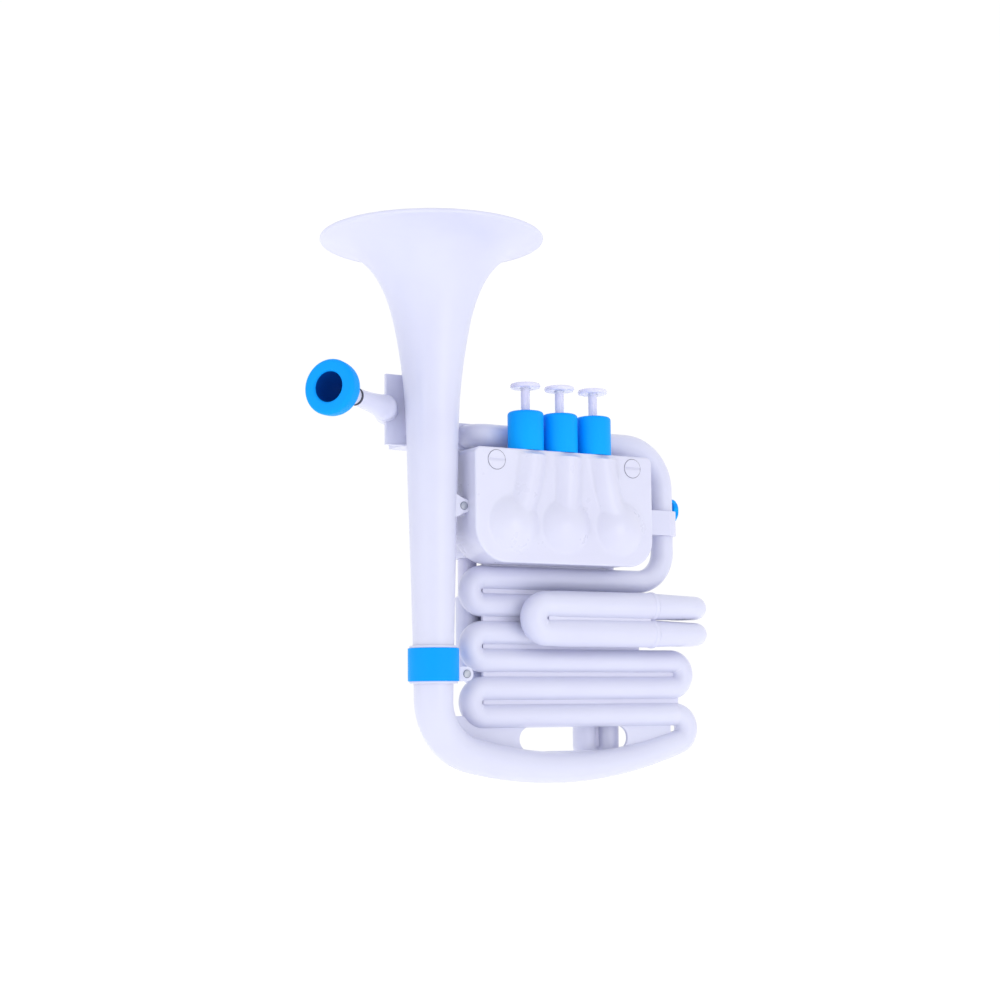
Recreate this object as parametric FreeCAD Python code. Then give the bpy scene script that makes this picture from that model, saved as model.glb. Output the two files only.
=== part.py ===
"""Small moulded-plastic three-valve student horn with an upright bell (baritone pitch).

Frame: the origin is the middle of the hand slot, in the plane of the tube stack.
+Z runs up towards the bell mouth, +X runs along the tube stack away from the bell,
+Y points to the back of the horn, away from the valve cover. Millimetres.
"""
import FreeCAD, Part
import os
from math import cos, sin, radians, degrees, asin, sqrt

V = FreeCAD.Vector
X_AXIS = V(1, 0, 0)
Y_AXIS = V(0, 1, 0)
Z_AXIS = V(0, 0, 1)

# ---------------------------------------------------------------- driving dimensions
# Fits
running_gap = 0.06          # radial gap of a shaft or slide in its bore
body_gap = 0.4              # air left between pieces that move past each other
wall = 2.4                  # wall of the bell and of the bow
shell = 2.5                 # wall of boxes and covers

# Tube stack
tube_r = 9.1
bore_r = 6.5
row_pitch = 21.4            # height between two rows
row_count = 6
lowest_row_z = 18.0
stack_top = lowest_row_z + row_pitch * (row_count - 1)   # middle of the top row
stack_left = -92.5          # outermost centre line of the left bends
stack_right = 104.6         # outermost centre line of the right bend of rows 4 and 5
web_t = 3.0                 # web between the rows
slot_length = 100.0         # hand slot in the bottom web
slot_height = 19.0

# Riser and top tube
riser_x = 87.5
riser_bend_r = 25.3
riser_joint_z = stack_top + 47.0       # where the top tube meets the stack's riser
top_tube_z = stack_top + 111.0
top_bend_r = 35.0
top_elbow_x = -88.0
top_elbow_r = 12.0

# Bell
bell_x = -130.3
bell_y = -12.0
bell_foot_z = 57.0
rim_z = 381.7
rim_r = 84.6
rim_bead_r = 1.7
bell_foot_r = 15.3
bell_outline = [            # height above the foot, outer radius
    (0.0, bell_foot_r), (84.0, 17.4), (150.0, 19.4), (204.0, 21.4), (245.0, 26.6),
    (279.0, 34.7), (302.0, 46.5), (316.0, 62.0), (rim_z - bell_foot_z, rim_r)]

# Bow under the hand slot
bow_bend_r = 44.0
bow_fall = 14.5             # slope of the bow after its first bend, degrees
bow_rise = 18.0             # slope of the bow before its last bend, degrees
bow_bend_top = 31.3         # height at which the first bend starts
bow_end_r = 9.6
bow_end_bend_r = 11.4
bow_end_x = 96.3

# Joint of bell and bow
collar_t = 2.9
collar_length = 28.3
band_t = 1.1
band_length = 24.7
band_sink = 0.6             # how deep the band sits in the collar

# Valve box
case_left = -106.7
case_right = 53.6
case_top = stack_top + 96.5
cover_bottom = stack_top + 8.8
case_bottom = stack_top + 9.9
cover_front = -37.0
cover_t = 3.0
case_back = 3.0
corner_lower_left = 27.0
corner_lower_right = 22.0
corner_top = 5.0
cover_bulge = 6.0           # how far the domes stand out of the cover
dome_r = 22.0
neck_half_width = 13.0
neck_bulge = 4.6
screw_inset_left = 18.3
screw_inset_right = 18.6
screw_drop = 9.6
screw_head_r = 7.3
screw_shank_r = 3.0
screw_proud = 0.6           # how far the heads stand out of the cover

# Valves
valve_y = -24.0
valve_x = [-55.0, -24.0, 7.0]
rotor_x = [-73.5, -27.0, 22.5]
crank_side = [1, 1, -1]     # side of the rotor's centre on which its crank pin works
rotor_z = stack_top + 38.5
rotor_r = 14.0
housing_wall = 2.8          # wall round each rotor
rotor_y = -14.0
rotor_bore_r = 6.0
journal_r = 3.5
crank_arm = 10.0
crank_pin_r = 2.0
crank_slot_gap = 0.3        # play of the crank pin in its slot, each side
valve_travel = 13.0
barrel_r = 14.05
barrel_wall = 2.4
barrel_height = 31.1
stem_r = 3.5
button_r = 11.8
button_t = 3.6
button_top_z = stack_top + 149.8
spring_wire_r = 0.7
spring_r = 6.5
spring_turns = 6

# Tuning slide
tuning_y = -21.0
tuning_sleeve_r = 11.0
tuning_mouth_x = 62.8
tuning_bend_x = -37.1
tuning_leg_r = 8.0
bead_r = 11.7
bead_length = 3.4
return_bend_x = 98.9
return_r = 9.3
return_mouth_r = 10.6
slide_bore_r = 6.2

# Valve slides at the back
slide_y = 19.4
slide_leg_r = 7.5
slide_sleeve_r = 9.25
slide_pitch = 22.0
slide_x = [-84.0, -30.0, 22.0]
slide_bend_z = [stack_top - 64.7, stack_top - 16.7, stack_top - 130.8]
slide_mouth_z = [stack_top - 14.0, stack_top + 6.0, stack_top - 63.0]
block_bottom = stack_top + 15.0
block_top = stack_top + 89.0
block_left = -97.0
block_right = 53.0
block_back = 31.0

# Leadpipe and mouthpiece
swivel_x = -163.1
swivel_y = 4.0
swivel_z = stack_top + 127.5
swivel_turn = 30.0          # swivel axis, from the back towards the valves, degrees
boss_r = 9.5
duct_r = 5.0                # air passages in the holder block
ball_r = 9.9
spigot_r = 5.5
spigot_length = 17.0
leadpipe_dir = V(-0.83, -0.56, 0.044)
leadpipe_length = 42.0
leadpipe_root_r = 9.0
leadpipe_end_r = 6.6
pipe_bore_r = 4.0
seal_length = 1.2
shank_r = 5.2
shank_depth = 18.0          # how far the mouthpiece goes into the leadpipe
shank_length = 13.0         # how much of the shank shows
cup_length = 24.6
cup_rim_r = 20.7
cup_mouth_r = 11.2
cup_depth = 20.0
throat_r = 2.6              # narrowest part of the mouthpiece

# Plate and block that hold the leadpipe
plate_left = -157.8
plate_right = -104.0
plate_front = 12.0
plate_t = 3.0
plate_bottom = stack_top + 100.4
plate_top = stack_top + 155.4
arm_right = -60.0
arm_top = stack_top + 121.5
manifold_back = 37.0
manifold_inset = 14.5       # the block stands this far in from the plate's left edge

# Clip on the riser
clip_bottom = stack_top + 38.0
clip_top = stack_top + 58.0
clip_t = 2.7
lyre_x = 77.0
lyre_y = 17.5
lyre_r = 3.2
lyre_block_top = stack_top + 71.0
knob_z = stack_top + 61.0
knob_r = 10.3
knob_t = 4.6
knob_x = 104.0
knob_shaft_r = 3.0

# Braces between bell and body
brace_x = -110.7
brace_y = -25.6
brace_t = 6.0
brace_z = stack_top + 51.6
brace_pin_r = 3.2
foot_lug_x = -105.0
foot_lug_y = -18.0
foot_lug_z = 50.1
pin_proud = 0.6             # how far the pins stand out
brace_pin_length = 8.4
foot_pin_length = 14.0

# ---------------------------------------------------------------- derived places
row_z = [lowest_row_z + row_pitch * (row_count - 1 - i) for i in range(row_count)]
row_bend_r = row_pitch / 2
pin_height = valve_travel / 2                      # crank pin above the rotor's centre
crank_angle = degrees(asin(pin_height / crank_arm))
case_front = cover_front + cover_t
screw_places = [(case_left + screw_inset_left, case_top - screw_drop),
                (case_right - screw_inset_right, case_top - screw_drop)]
lead = V(leadpipe_dir)
lead.normalize()
swivel = V(swivel_x, swivel_y, swivel_z)
swivel_axis = V(sin(radians(swivel_turn)), cos(radians(swivel_turn)), 0)
duct_y = (plate_front + plate_t + manifold_back) / 2
duct_reach = (duct_y - swivel_y) / swivel_axis.y   # along the swivel axis to the block's duct
duct_start = swivel + swivel_axis * duct_reach
crank_back = rotor_y - rotor_r - 0.6
crank_front = crank_back - 2.4
fork_back = crank_front - body_gap
fork_front = case_front + body_gap
foot_z = rotor_z + rotor_r + housing_wall + valve_travel + 4.0


# ---------------------------------------------------------------- helpers
def cyl(radius, length, base, axis=Z_AXIS):
    return Part.makeCylinder(radius, length, base, axis)


def box(x0, x1, y0, y1, z0, z1):
    return Part.makeBox(x1 - x0, y1 - y0, z1 - z0, V(x0, y0, z0))


def ring(r_out, r_in, length, base, axis=Z_AXIS):
    return cyl(r_out, length, base, axis).cut(cyl(r_in, length, base, axis))


def rounded_path(points, radii):
    """Straight runs through the points, joined by tangent arcs of the given radii."""
    edges = []
    start = points[0]
    for i, radius in enumerate(radii):
        corner = points[i + 1]
        before = (points[i] - corner).normalize()
        after = (points[i + 2] - corner).normalize()
        half_turn = before.getAngle(after) / 2
        tangent = radius * cos(half_turn) / sin(half_turn)
        arc_in = corner + before * tangent
        arc_out = corner + after * tangent
        bisector = (before + after).normalize()
        middle = corner + bisector * (radius / sin(half_turn) - radius)
        if (arc_in - start).Length > 1e-4:
            edges.append(Part.LineSegment(start, arc_in).toShape())
        edges.append(Part.Arc(arc_in, middle, arc_out).toShape())
        start = arc_out
    if (points[-1] - start).Length > 1e-4:
        edges.append(Part.LineSegment(start, points[-1]).toShape())
    return Part.Wire(edges)


def rod(points, radii, radius):
    """Solid round bar along a rounded path."""
    heading = points[1] - points[0]
    section = Part.Wire(Part.makeCircle(radius, points[0], heading))
    return rounded_path(points, radii).makePipeShell([section], True, False)


def tube(points, radii, r_out, r_in):
    return rod(points, radii, r_out).cut(rod(points, radii, r_in))


def rounded_outline(x0, x1, z0, z1, lower_left, lower_right, upper_right, upper_left, y):
    """Rectangle in an XZ plane with its own radius at each corner."""
    c = 1 - cos(radians(45))

    def arc(ax, az, mx, mz, bx, bz):
        return Part.Arc(V(ax, y, az), V(mx, y, mz), V(bx, y, bz)).toShape()

    def line(ax, az, bx, bz):
        return Part.LineSegment(V(ax, y, az), V(bx, y, bz)).toShape()

    ll, lr, ur, ul = lower_left, lower_right, upper_right, upper_left
    return Part.Wire([
        line(x0 + ll, z0, x1 - lr, z0),
        arc(x1 - lr, z0, x1 - lr * c, z0 + lr * c, x1, z0 + lr),
        line(x1, z0 + lr, x1, z1 - ur),
        arc(x1, z1 - ur, x1 - ur * c, z1 - ur * c, x1 - ur, z1),
        line(x1 - ur, z1, x0 + ul, z1),
        arc(x0 + ul, z1, x0 + ul * c, z1 - ul * c, x0, z1 - ul),
        line(x0, z1 - ul, x0, z0 + ll),
        arc(x0, z0 + ll, x0 + ll * c, z0 + ll * c, x0 + ll, z0)])


def slab(wire, depth):
    """Extrude a closed outline backwards (+Y)."""
    return Part.Face(wire).extrude(V(0, depth, 0))


def revolved(outline, base, axis):
    """Solid of revolution from (distance along axis, radius) points, ends on the axis."""
    points = [V(r, 0, t) for t, r in outline]
    points.append(points[0])
    solid = Part.Face(Part.makePolygon(points)).revolve(V(0, 0, 0), Z_AXIS, 360)
    turn = FreeCAD.Rotation(Z_AXIS, axis)
    solid.Placement = FreeCAD.Placement(base, turn)
    return solid


def fused(shapes):
    return shapes[0].multiFuse(shapes[1:]).removeSplitter()


def rounded(shape, radius, pick):
    """Fillet the edges that pick() accepts."""
    edges = [e for e in shape.Edges if pick(e)]
    return shape.makeFillet(radius, edges)


def save(name, shape):
    solids = [s for s in shape.Solids if s.Volume > 0.5]
    for solid in solids:
        if not solid.isValid():
            print("not valid:", name)
    out = solids[0] if len(solids) == 1 else Part.makeCompound(solids)
    out.exportStep("parts/" + name + ".step")
    print(name, len(solids), "solid(s)", round(out.Volume / 1000, 2), "cm3")


# ---------------------------------------------------------------- bell
def bell_curve(offset):
    """Edge of the bell's wall, moved inwards along its normal by offset."""
    outer = Part.BSplineCurve()
    outer.interpolate([V(r, 0, h) for h, r in bell_outline])
    if offset == 0:
        return outer
    count = 24
    first, last = outer.FirstParameter, outer.LastParameter
    moved = []
    for i in range(count + 1):
        u = first + (last - first) * i / count
        tangent = outer.tangent(u)[0]
        moved.append(outer.value(u) + V(-tangent.z, 0, tangent.x) * offset)
    inner = Part.BSplineCurve()
    inner.interpolate(moved)
    return inner


def make_bell():
    outer = bell_curve(0)
    inner = bell_curve(wall)
    foot = Part.LineSegment(inner.StartPoint, outer.StartPoint).toShape()
    lip = Part.LineSegment(outer.EndPoint, inner.EndPoint).toShape()
    section = Part.Face(Part.Wire([foot, outer.toShape(), lip, inner.toShape()]))
    horn = section.revolve(V(0, 0, 0), Z_AXIS, 360)
    bead_centre = (outer.EndPoint + inner.EndPoint) * 0.5
    bead = Part.makeTorus(bead_centre.x, rim_bead_r, V(0, 0, bead_centre.z))
    bell = horn.fuse(bead)
    bell.translate(V(bell_x, bell_y, bell_foot_z))
    return bell


def bell_solid(extra=0.0):
    """The bell's outer form without its bore, grown by extra."""
    outer = bell_curve(0)
    end = outer.EndPoint
    start = outer.StartPoint
    section = Part.Wire([
        outer.toShape(),
        Part.LineSegment(end, V(0, 0, end.z)).toShape(),
        Part.LineSegment(V(0, 0, end.z), V(0, 0, start.z)).toShape(),
        Part.LineSegment(V(0, 0, start.z), start).toShape()])
    solid = Part.Face(section).revolve(V(0, 0, 0), Z_AXIS, 360)
    solid.translate(V(bell_x, bell_y, bell_foot_z))
    return solid


# ---------------------------------------------------------------- bow
def bow_stations():
    """Centre points, headings and radii of the bow, from the bell's foot to its last bend."""
    fall, rise = radians(bow_fall), radians(bow_rise)
    end_centre_z = lowest_row_z - bow_end_bend_r
    end_x = bow_end_x + bow_end_bend_r * sin(rise)
    end_z = end_centre_z - bow_end_bend_r * cos(rise)
    turn = radians(90) - fall
    first_x = bell_x + bow_bend_r * (1 - cos(turn))
    first_z = bow_bend_top - bow_bend_r * sin(turn)
    long_r = ((end_x - first_x) * sin(rise) - (end_z - first_z) * cos(rise)) / (1 - cos(rise + fall))
    places = []
    for i in range(3):
        places.append((bell_x, bell_foot_z + (bow_bend_top - bell_foot_z) * i / 3, radians(-90)))
    for i in range(8):
        a = turn * i / 8
        x = bell_x + bow_bend_r * (1 - cos(a))
        z = bow_bend_top - bow_bend_r * sin(a)
        places.append((x, z, a - radians(90)))
    for i in range(13):
        h = -fall + (fall + rise) * i / 12
        places.append((first_x + long_r * (sin(h) + sin(fall)), first_z + long_r * (cos(fall) - cos(h)), h))
    places.append((end_x, end_z, rise))
    travelled = [0.0]
    for a, b in zip(places, places[1:]):
        travelled.append(travelled[-1] + sqrt((b[0] - a[0]) ** 2 + (b[1] - a[1]) ** 2))
    stations = []
    for (x, z, heading), s in zip(places, travelled):
        t = s / travelled[-1]
        y = bell_y * (1 - t * t * (3 - 2 * t))
        slope = -bell_y * 6 * t * (1 - t) / travelled[-1]
        radius = bell_foot_r + (bow_end_r - bell_foot_r) * t
        stations.append((V(x, y, z), V(cos(heading), slope, sin(heading)), radius))
    return stations


def bow_form(inset):
    """The bow as a solid bar, its surface moved inwards by inset."""
    wires = []
    for place, heading, radius in bow_stations():
        circle = Part.Circle(place, heading, radius - inset)
        circle.XAxis = heading.cross(Y_AXIS)
        wires.append(Part.Wire(circle.toShape()))
    taper = Part.makeLoft(wires, True, False)
    rise = radians(bow_rise)
    end_point, end_heading, _ = bow_stations()[-1]
    top = V(bow_end_x, 0, lowest_row_z)
    centre = V(bow_end_x, 0, lowest_row_z - bow_end_bend_r)
    half = radians((180 + bow_rise) / 2 - 90)
    middle = centre + V(cos(half), 0, sin(half)) * bow_end_bend_r
    path = Part.Wire([Part.Arc(end_point, middle, top).toShape()])
    section = Part.Wire(Part.makeCircle(bow_end_r - inset, end_point, V(cos(rise), 0, sin(rise))))
    bend = path.makePipeShell([section], True, False)
    return taper, bend


def make_bow():
    outer_taper, outer_bend = bow_form(0)
    inner_taper, inner_bend = bow_form(wall)
    return outer_taper.cut(inner_taper).fuse(outer_bend.cut(inner_bend))


def bow_solid():
    taper, bend = bow_form(0)
    return taper.fuse(bend)


# ---------------------------------------------------------------- tube stack
def stack_paths():
    """The two runs of tube moulded into the body: riser to row 2, and row 3 to row 6."""
    upper = [V(riser_x, 0, riser_joint_z), V(riser_x, 0, row_z[0]), V(stack_left, 0, row_z[0]),
             V(stack_left, 0, row_z[1]), V(return_bend_x - 5, 0, row_z[1])]
    upper_radii = [riser_bend_r, row_bend_r, row_bend_r]
    lower = [V(return_bend_x - 5, 0, row_z[2]), V(stack_left, 0, row_z[2]), V(stack_left, 0, row_z[3]),
             V(stack_right, 0, row_z[3]), V(stack_right, 0, row_z[4]), V(stack_left, 0, row_z[4]),
             V(stack_left, 0, row_z[5]), V(bow_end_x, 0, row_z[5])]
    lower_radii = [row_bend_r] * 6
    return (upper, upper_radii), (lower, lower_radii)


def hand_slot():
    """The slot that the hand goes through, with round ends."""
    half = (slot_length - slot_height) / 2
    r = slot_height / 2
    return fused([cyl(r, 60, V(-half, -30, 0), Y_AXIS), cyl(r, 60, V(half, -30, 0), Y_AXIS),
                  box(-half, half, -30, 30, -r, r)])


def make_body_shells():
    runs = [rod(points, radii, tube_r) for points, radii in stack_paths()]
    bores = [rod(points, radii, bore_r) for points, radii in stack_paths()]
    web_left = stack_left + row_bend_r
    web_right = riser_x - riser_bend_r
    upper_web = box(web_left, web_right, -web_t / 2, web_t / 2, row_z[3], row_z[0])
    lower_web = box(web_left, stack_right - row_bend_r, -web_t / 2, web_t / 2, row_z[5], row_z[3])
    under = [V(place.x, -web_t / 2, place.z) for place, heading, radius in bow_stations()[6:]]
    outline = under + [V(bow_end_x, -web_t / 2, row_z[5]), V(stack_left, -web_t / 2, row_z[5]), under[0]]
    hand_web = Part.Face(Part.makePolygon(outline)).extrude(V(0, web_t, 0))
    hand_web = hand_web.common(box(web_left - 14, bow_end_x, -web_t, web_t, -200, row_z[5]))
    hand_web = hand_web.cut(hand_slot())
    lug = box(foot_lug_x - 4, web_left, foot_lug_y + brace_t + 0.1, 0, foot_lug_z - 4.5, foot_lug_z + 4.5)
    whole = runs[0].multiFuse([runs[1], upper_web, lower_web, hand_web, lug])
    whole = whole.cut(bow_solid())
    for bore in bores:
        whole = whole.cut(bore)
    whole = whole.cut(cyl(brace_pin_r, 40, V(foot_lug_x, foot_lug_y - 5, foot_lug_z), Y_AXIS))
    whole = whole.cut(collar_form(collar_t + band_t))
    front = whole.common(box(-200, 200, -60, 0, -60, 260))
    rear = whole.common(box(-200, 200, 0, 60, -60, 260))
    return front, rear


def make_top_tube():
    points = [V(riser_x, 0, riser_joint_z), V(riser_x, 0, top_tube_z), V(top_elbow_x, 0, top_tube_z),
              V(top_elbow_x, plate_front, top_tube_z)]
    return tube(points, [top_bend_r, top_elbow_r - 0.001], tube_r, bore_r)


# ---------------------------------------------------------------- joint of bell and bow
def collar_form(thickness):
    """Solid round bar around the joint of bell and bow."""
    base = V(bell_x, bell_y, bell_foot_z - collar_length / 2)
    return cyl(bell_foot_r + thickness, collar_length, base)


def make_collar():
    sleeve = collar_form(collar_t)
    band_seat = ring(bell_foot_r + collar_t + 5, bell_foot_r + collar_t - band_sink, band_length,
                     V(bell_x, bell_y, bell_foot_z - band_length / 2))
    sleeve = sleeve.cut(band_seat)
    return sleeve.cut(bell_solid()).cut(bow_solid())


def make_band():
    base = V(bell_x, bell_y, bell_foot_z - band_length / 2)
    band = ring(bell_foot_r + collar_t + band_t, bell_foot_r + collar_t - band_sink, band_length, base)
    return rounded(band, 0.5, lambda e: e.Length > 6.28 * (bell_foot_r + collar_t))


def make_foot_lug():
    """Lug on the collar that pins the bell's foot to the tube stack."""
    y0 = foot_lug_y
    tongue = box(bell_x, foot_lug_x, y0, y0 + brace_t, foot_lug_z - 5.5, foot_lug_z + 5.5)
    tip = cyl(5.5, brace_t, V(foot_lug_x, y0, foot_lug_z), Y_AXIS)
    lug = tongue.fuse(tip).cut(collar_form(collar_t + band_t))
    lug = lug.cut(cyl(brace_pin_r, 40, V(foot_lug_x, y0 - 5, foot_lug_z), Y_AXIS))
    return lug.common(box(bell_x + 10, foot_lug_x + 20, y0 - 5, 20, 0, 100))


def bell_clearance(z, height):
    """Space kept free round the bell's wall, from z upwards."""
    above_foot = z + height - bell_foot_z
    for (low, r_low), (high, r_high) in zip(bell_outline, bell_outline[1:]):
        if low <= above_foot <= high:
            radius = r_low + (r_high - r_low) * (above_foot - low) / (high - low)
            return cyl(radius + body_gap, height, V(bell_x, bell_y, z))
    return cyl(rim_r, height, V(bell_x, bell_y, z))


def pin_on_y(x, y, z, length):
    pin = cyl(brace_pin_r, length, V(x, y, z), Y_AXIS)
    return rounded(pin, 0.5, lambda e: abs(e.CenterOfMass.y - y) < 0.01 and e.Length > 10)


def make_bell_brace():
    """Teardrop lug from the bell to the valve box."""
    y0 = brace_y
    root = box(bell_x, bell_x + 6, y0, y0 + brace_t, brace_z - 13, brace_z + 13)
    root_x = bell_x + 5
    corners = [V(root_x, y0, brace_z - 13), V(brace_x, y0, brace_z - 5.4), V(brace_x, y0, brace_z + 5.4),
               V(root_x, y0, brace_z + 13), V(root_x, y0, brace_z - 13)]
    wedge = Part.Face(Part.makePolygon(corners)).extrude(V(0, brace_t, 0))
    tip = cyl(5.4, brace_t, V(brace_x, y0, brace_z), Y_AXIS)
    lug = root.multiFuse([wedge, tip]).cut(bell_solid())
    lug = lug.common(box(bell_x, case_left, y0 - 1, 20, 0, 300))
    return lug.cut(cyl(brace_pin_r, 60, V(brace_x, y0 - 5, brace_z), Y_AXIS))


# ---------------------------------------------------------------- valve box
def make_casing():
    outline = rounded_outline(case_left, case_right, case_bottom, case_top, corner_lower_left,
                              corner_lower_right, corner_top, corner_top, case_front)
    outside = slab(outline, case_back - case_front)
    outside = rounded(outside, 4.0, lambda e: abs(e.CenterOfMass.y - case_back) < 0.01
                      and e.CenterOfMass.z < case_top - 1)
    cavity = slab(rounded_outline(case_left + shell, case_right - shell, case_bottom + shell,
                                  case_top - shell, corner_lower_left - shell, corner_lower_right - shell,
                                  corner_top - shell, corner_top - shell, case_front),
                  case_back - shell - case_front)
    casing = outside.cut(cavity)
    floor_y = case_back - shell
    ball_back = rotor_y + rotor_r + body_gap
    housings = []
    for x in rotor_x:
        front = V(x, rotor_y - rotor_r + 1, rotor_z)
        housings.append(cyl(rotor_r + housing_wall, floor_y - front.y, front, Y_AXIS))
    bosses = [cyl(6.5, floor_y - case_front, V(x, case_front, z), Y_AXIS) for x, z in screw_places]
    bosses = [b.common(outside) for b in bosses]
    ear_y = brace_y + brace_t
    ear = box(brace_x - 5.4, case_left + 1, ear_y, ear_y + 6, brace_z - 7, brace_z + 7)
    ear = ear.cut(bell_clearance(brace_z - 8, 16))
    casing = casing.multiFuse(housings + bosses + [ear])
    for x in rotor_x:
        casing = casing.cut(cyl(rotor_r + running_gap, ball_back - crank_front,
                                V(x, crank_front, rotor_z), Y_AXIS))
        casing = casing.cut(cyl(journal_r + running_gap, 20, V(x, floor_y - 5, rotor_z), Y_AXIS))
        for side in (-1, 1):
            port = cyl(rotor_bore_r, 8, V(x + side * (rotor_r + 4), rotor_y, rotor_z), V(-side, 0, 0))
            casing = casing.cut(port)
    for x in valve_x:
        casing = casing.cut(cyl(stem_r + running_gap, 2 * shell, V(x, valve_y, case_top - 1.5 * shell)))
    for x, z in screw_places:
        casing = casing.cut(cyl(screw_shank_r + running_gap, 16, V(x, case_front, z), Y_AXIS))
    casing = casing.cut(cyl(brace_pin_r, 60, V(brace_x, brace_y - 5, brace_z), Y_AXIS))
    return casing


def bulge(points, radii, radius, height):
    """Half-round raised form on the cover: a bar sunk so that only height stands out."""
    depth = cover_front + radius - height
    moved = [V(x, depth, z) for x, z in points]
    return rod(moved, radii, radius)


def make_cover():
    plate = slab(rounded_outline(case_left, case_right, cover_bottom, case_top, corner_lower_left,
                                 corner_lower_right, corner_top, corner_top, cover_front), cover_t)
    plate = rounded(plate, 1.2, lambda e: abs(e.CenterOfMass.y - cover_front) < 0.01)
    sphere_r = (dome_r ** 2 + cover_bulge ** 2) / (2 * cover_bulge)
    neck_r = (neck_half_width ** 2 + neck_bulge ** 2) / (2 * neck_bulge)
    raised = []
    for bx, rx in zip(valve_x, rotor_x):
        raised.append(Part.makeSphere(sphere_r, V(rx, cover_front + sphere_r - cover_bulge, rotor_z)))
        knee_z = rotor_z + dome_r + 4
        path = [(bx, case_top), (bx, knee_z), (rx, rotor_z)]
        raised.append(bulge(path, [neck_r + 1], neck_r, neck_bulge))
    front_space = box(case_left + 3, case_right - 3, cover_front - 20, cover_front + 1,
                      cover_bottom + 3, case_top)
    raised = [r.common(front_space) for r in raised]
    cover = plate.multiFuse(raised)
    for x, z in screw_places:
        cover = cover.cut(cyl(screw_head_r + running_gap, 1.8, V(x, cover_front - 0.01, z), Y_AXIS))
        cover = cover.cut(cyl(screw_shank_r + running_gap, 10, V(x, cover_front, z), Y_AXIS))
    return cover


def make_cover_screw(x, z):
    """Coin-slot screw of the cover, turned a quarter."""
    head = cyl(screw_head_r, 2.2, V(x, cover_front - screw_proud, z), Y_AXIS)
    head = rounded(head, 0.4, lambda e: abs(e.CenterOfMass.y - cover_front + screw_proud) < 0.01)
    shank = cyl(screw_shank_r, 14, V(x, cover_front + 1, z), Y_AXIS)
    slot = box(x - screw_head_r, x + screw_head_r, cover_front - 1, cover_front + 0.8, z - 0.9, z + 0.9)
    return head.fuse(shank).cut(slot)


# ---------------------------------------------------------------- valves
def make_barrel(x):
    base = V(x, valve_y, case_top)
    barrel = cyl(barrel_r, barrel_height, base)
    barrel = rounded(barrel, 2.0, lambda e: abs(e.CenterOfMass.z - case_top - barrel_height) < 0.01)
    room = cyl(barrel_r - barrel_wall, barrel_height - barrel_wall, base)
    top_hole = cyl(stem_r + running_gap, barrel_height + 1, base)
    return barrel.cut(room).cut(top_hole)


def make_stem(x):
    """Plunger stem with the collar that the spring pushes on."""
    button_bottom = button_top_z - button_t
    stem = cyl(stem_r, button_bottom - foot_z, V(x, valve_y, foot_z))
    collar_z = case_top + barrel_height - barrel_wall - 2.4
    collar = cyl(spring_r + 2, 2.0, V(x, valve_y, collar_z))
    return stem.fuse(collar)


def make_button(x):
    button = cyl(button_r, button_t, V(x, valve_y, button_top_z - button_t))
    return rounded(button, 1.2, lambda e: e.Length > 6 * button_r)


def make_spring(x):
    """Return spring: half turns that lean alternately, so that the wire rises without a step."""
    bottom = case_top + spring_wire_r + 0.2
    top = case_top + barrel_height - barrel_wall - 2.4 - spring_wire_r - 0.2
    rise = (top - bottom) / (2 * spring_turns)
    pieces = []
    for i in range(2 * spring_turns):
        side = 1 if i % 2 == 0 else -1
        start = V(x + side * spring_r, valve_y, bottom + rise * i)
        middle = V(x, valve_y, bottom + rise * (i + 0.5))
        disc = Part.Face(Part.Wire(Part.makeCircle(spring_wire_r, start, Y_AXIS)))
        pieces.append(disc.revolve(middle, V(side * rise, 0, 2 * spring_r), 180))
    return fused(pieces)


def pin_x(i, outermost=False):
    reach = crank_arm if outermost else crank_arm * cos(radians(crank_angle))
    return rotor_x[i] + crank_side[i] * reach


def make_fork(i):
    """Link that carries the stem's stroke to the crank pin: foot, bar and slotted plate."""
    x = valve_x[i]
    pin_z = rotor_z + pin_height
    slot_half = crank_pin_r + crank_slot_gap
    inner, outer = sorted((pin_x(i), pin_x(i, True)))
    plate_half = slot_half + 2.4
    left = min(inner - crank_pin_r - 3.2, x - 3)
    right = max(outer + crank_pin_r + 3.2, x + 3)
    plate = box(left, right, fork_front, fork_back, pin_z - plate_half, pin_z + plate_half)
    bar = box(x - 3, x + 3, fork_front, fork_back, pin_z, foot_z)
    foot = box(x - 3.4, x + 3.4, fork_front, valve_y + 3.4, foot_z - 4, foot_z)
    fork = fused([plate, bar, foot])
    slot = fused([box(inner - 0.5, outer + 0.5, fork_front - 1, fork_back + 1,
                      pin_z - slot_half, pin_z + slot_half),
                  cyl(slot_half, 10, V(inner - 0.5, fork_front - 4, pin_z), Y_AXIS),
                  cyl(slot_half, 10, V(outer + 0.5, fork_front - 4, pin_z), Y_AXIS)])
    return fork.cut(slot)


def make_rotor(i):
    """Ball with its air passage and its two journals."""
    x = rotor_x[i]
    ball = Part.makeSphere(rotor_r, V(x, rotor_y, rotor_z))
    back = cyl(journal_r, case_back - rotor_y, V(x, rotor_y, rotor_z), Y_AXIS)
    front = cyl(journal_r, rotor_y - crank_back + 1.2, V(x, crank_back - 1.2, rotor_z), Y_AXIS)
    passage = cyl(rotor_bore_r, 2 * rotor_r + 2, V(x - rotor_r - 1, rotor_y, rotor_z), X_AXIS)
    return fused([ball, back, front]).cut(passage)


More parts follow.
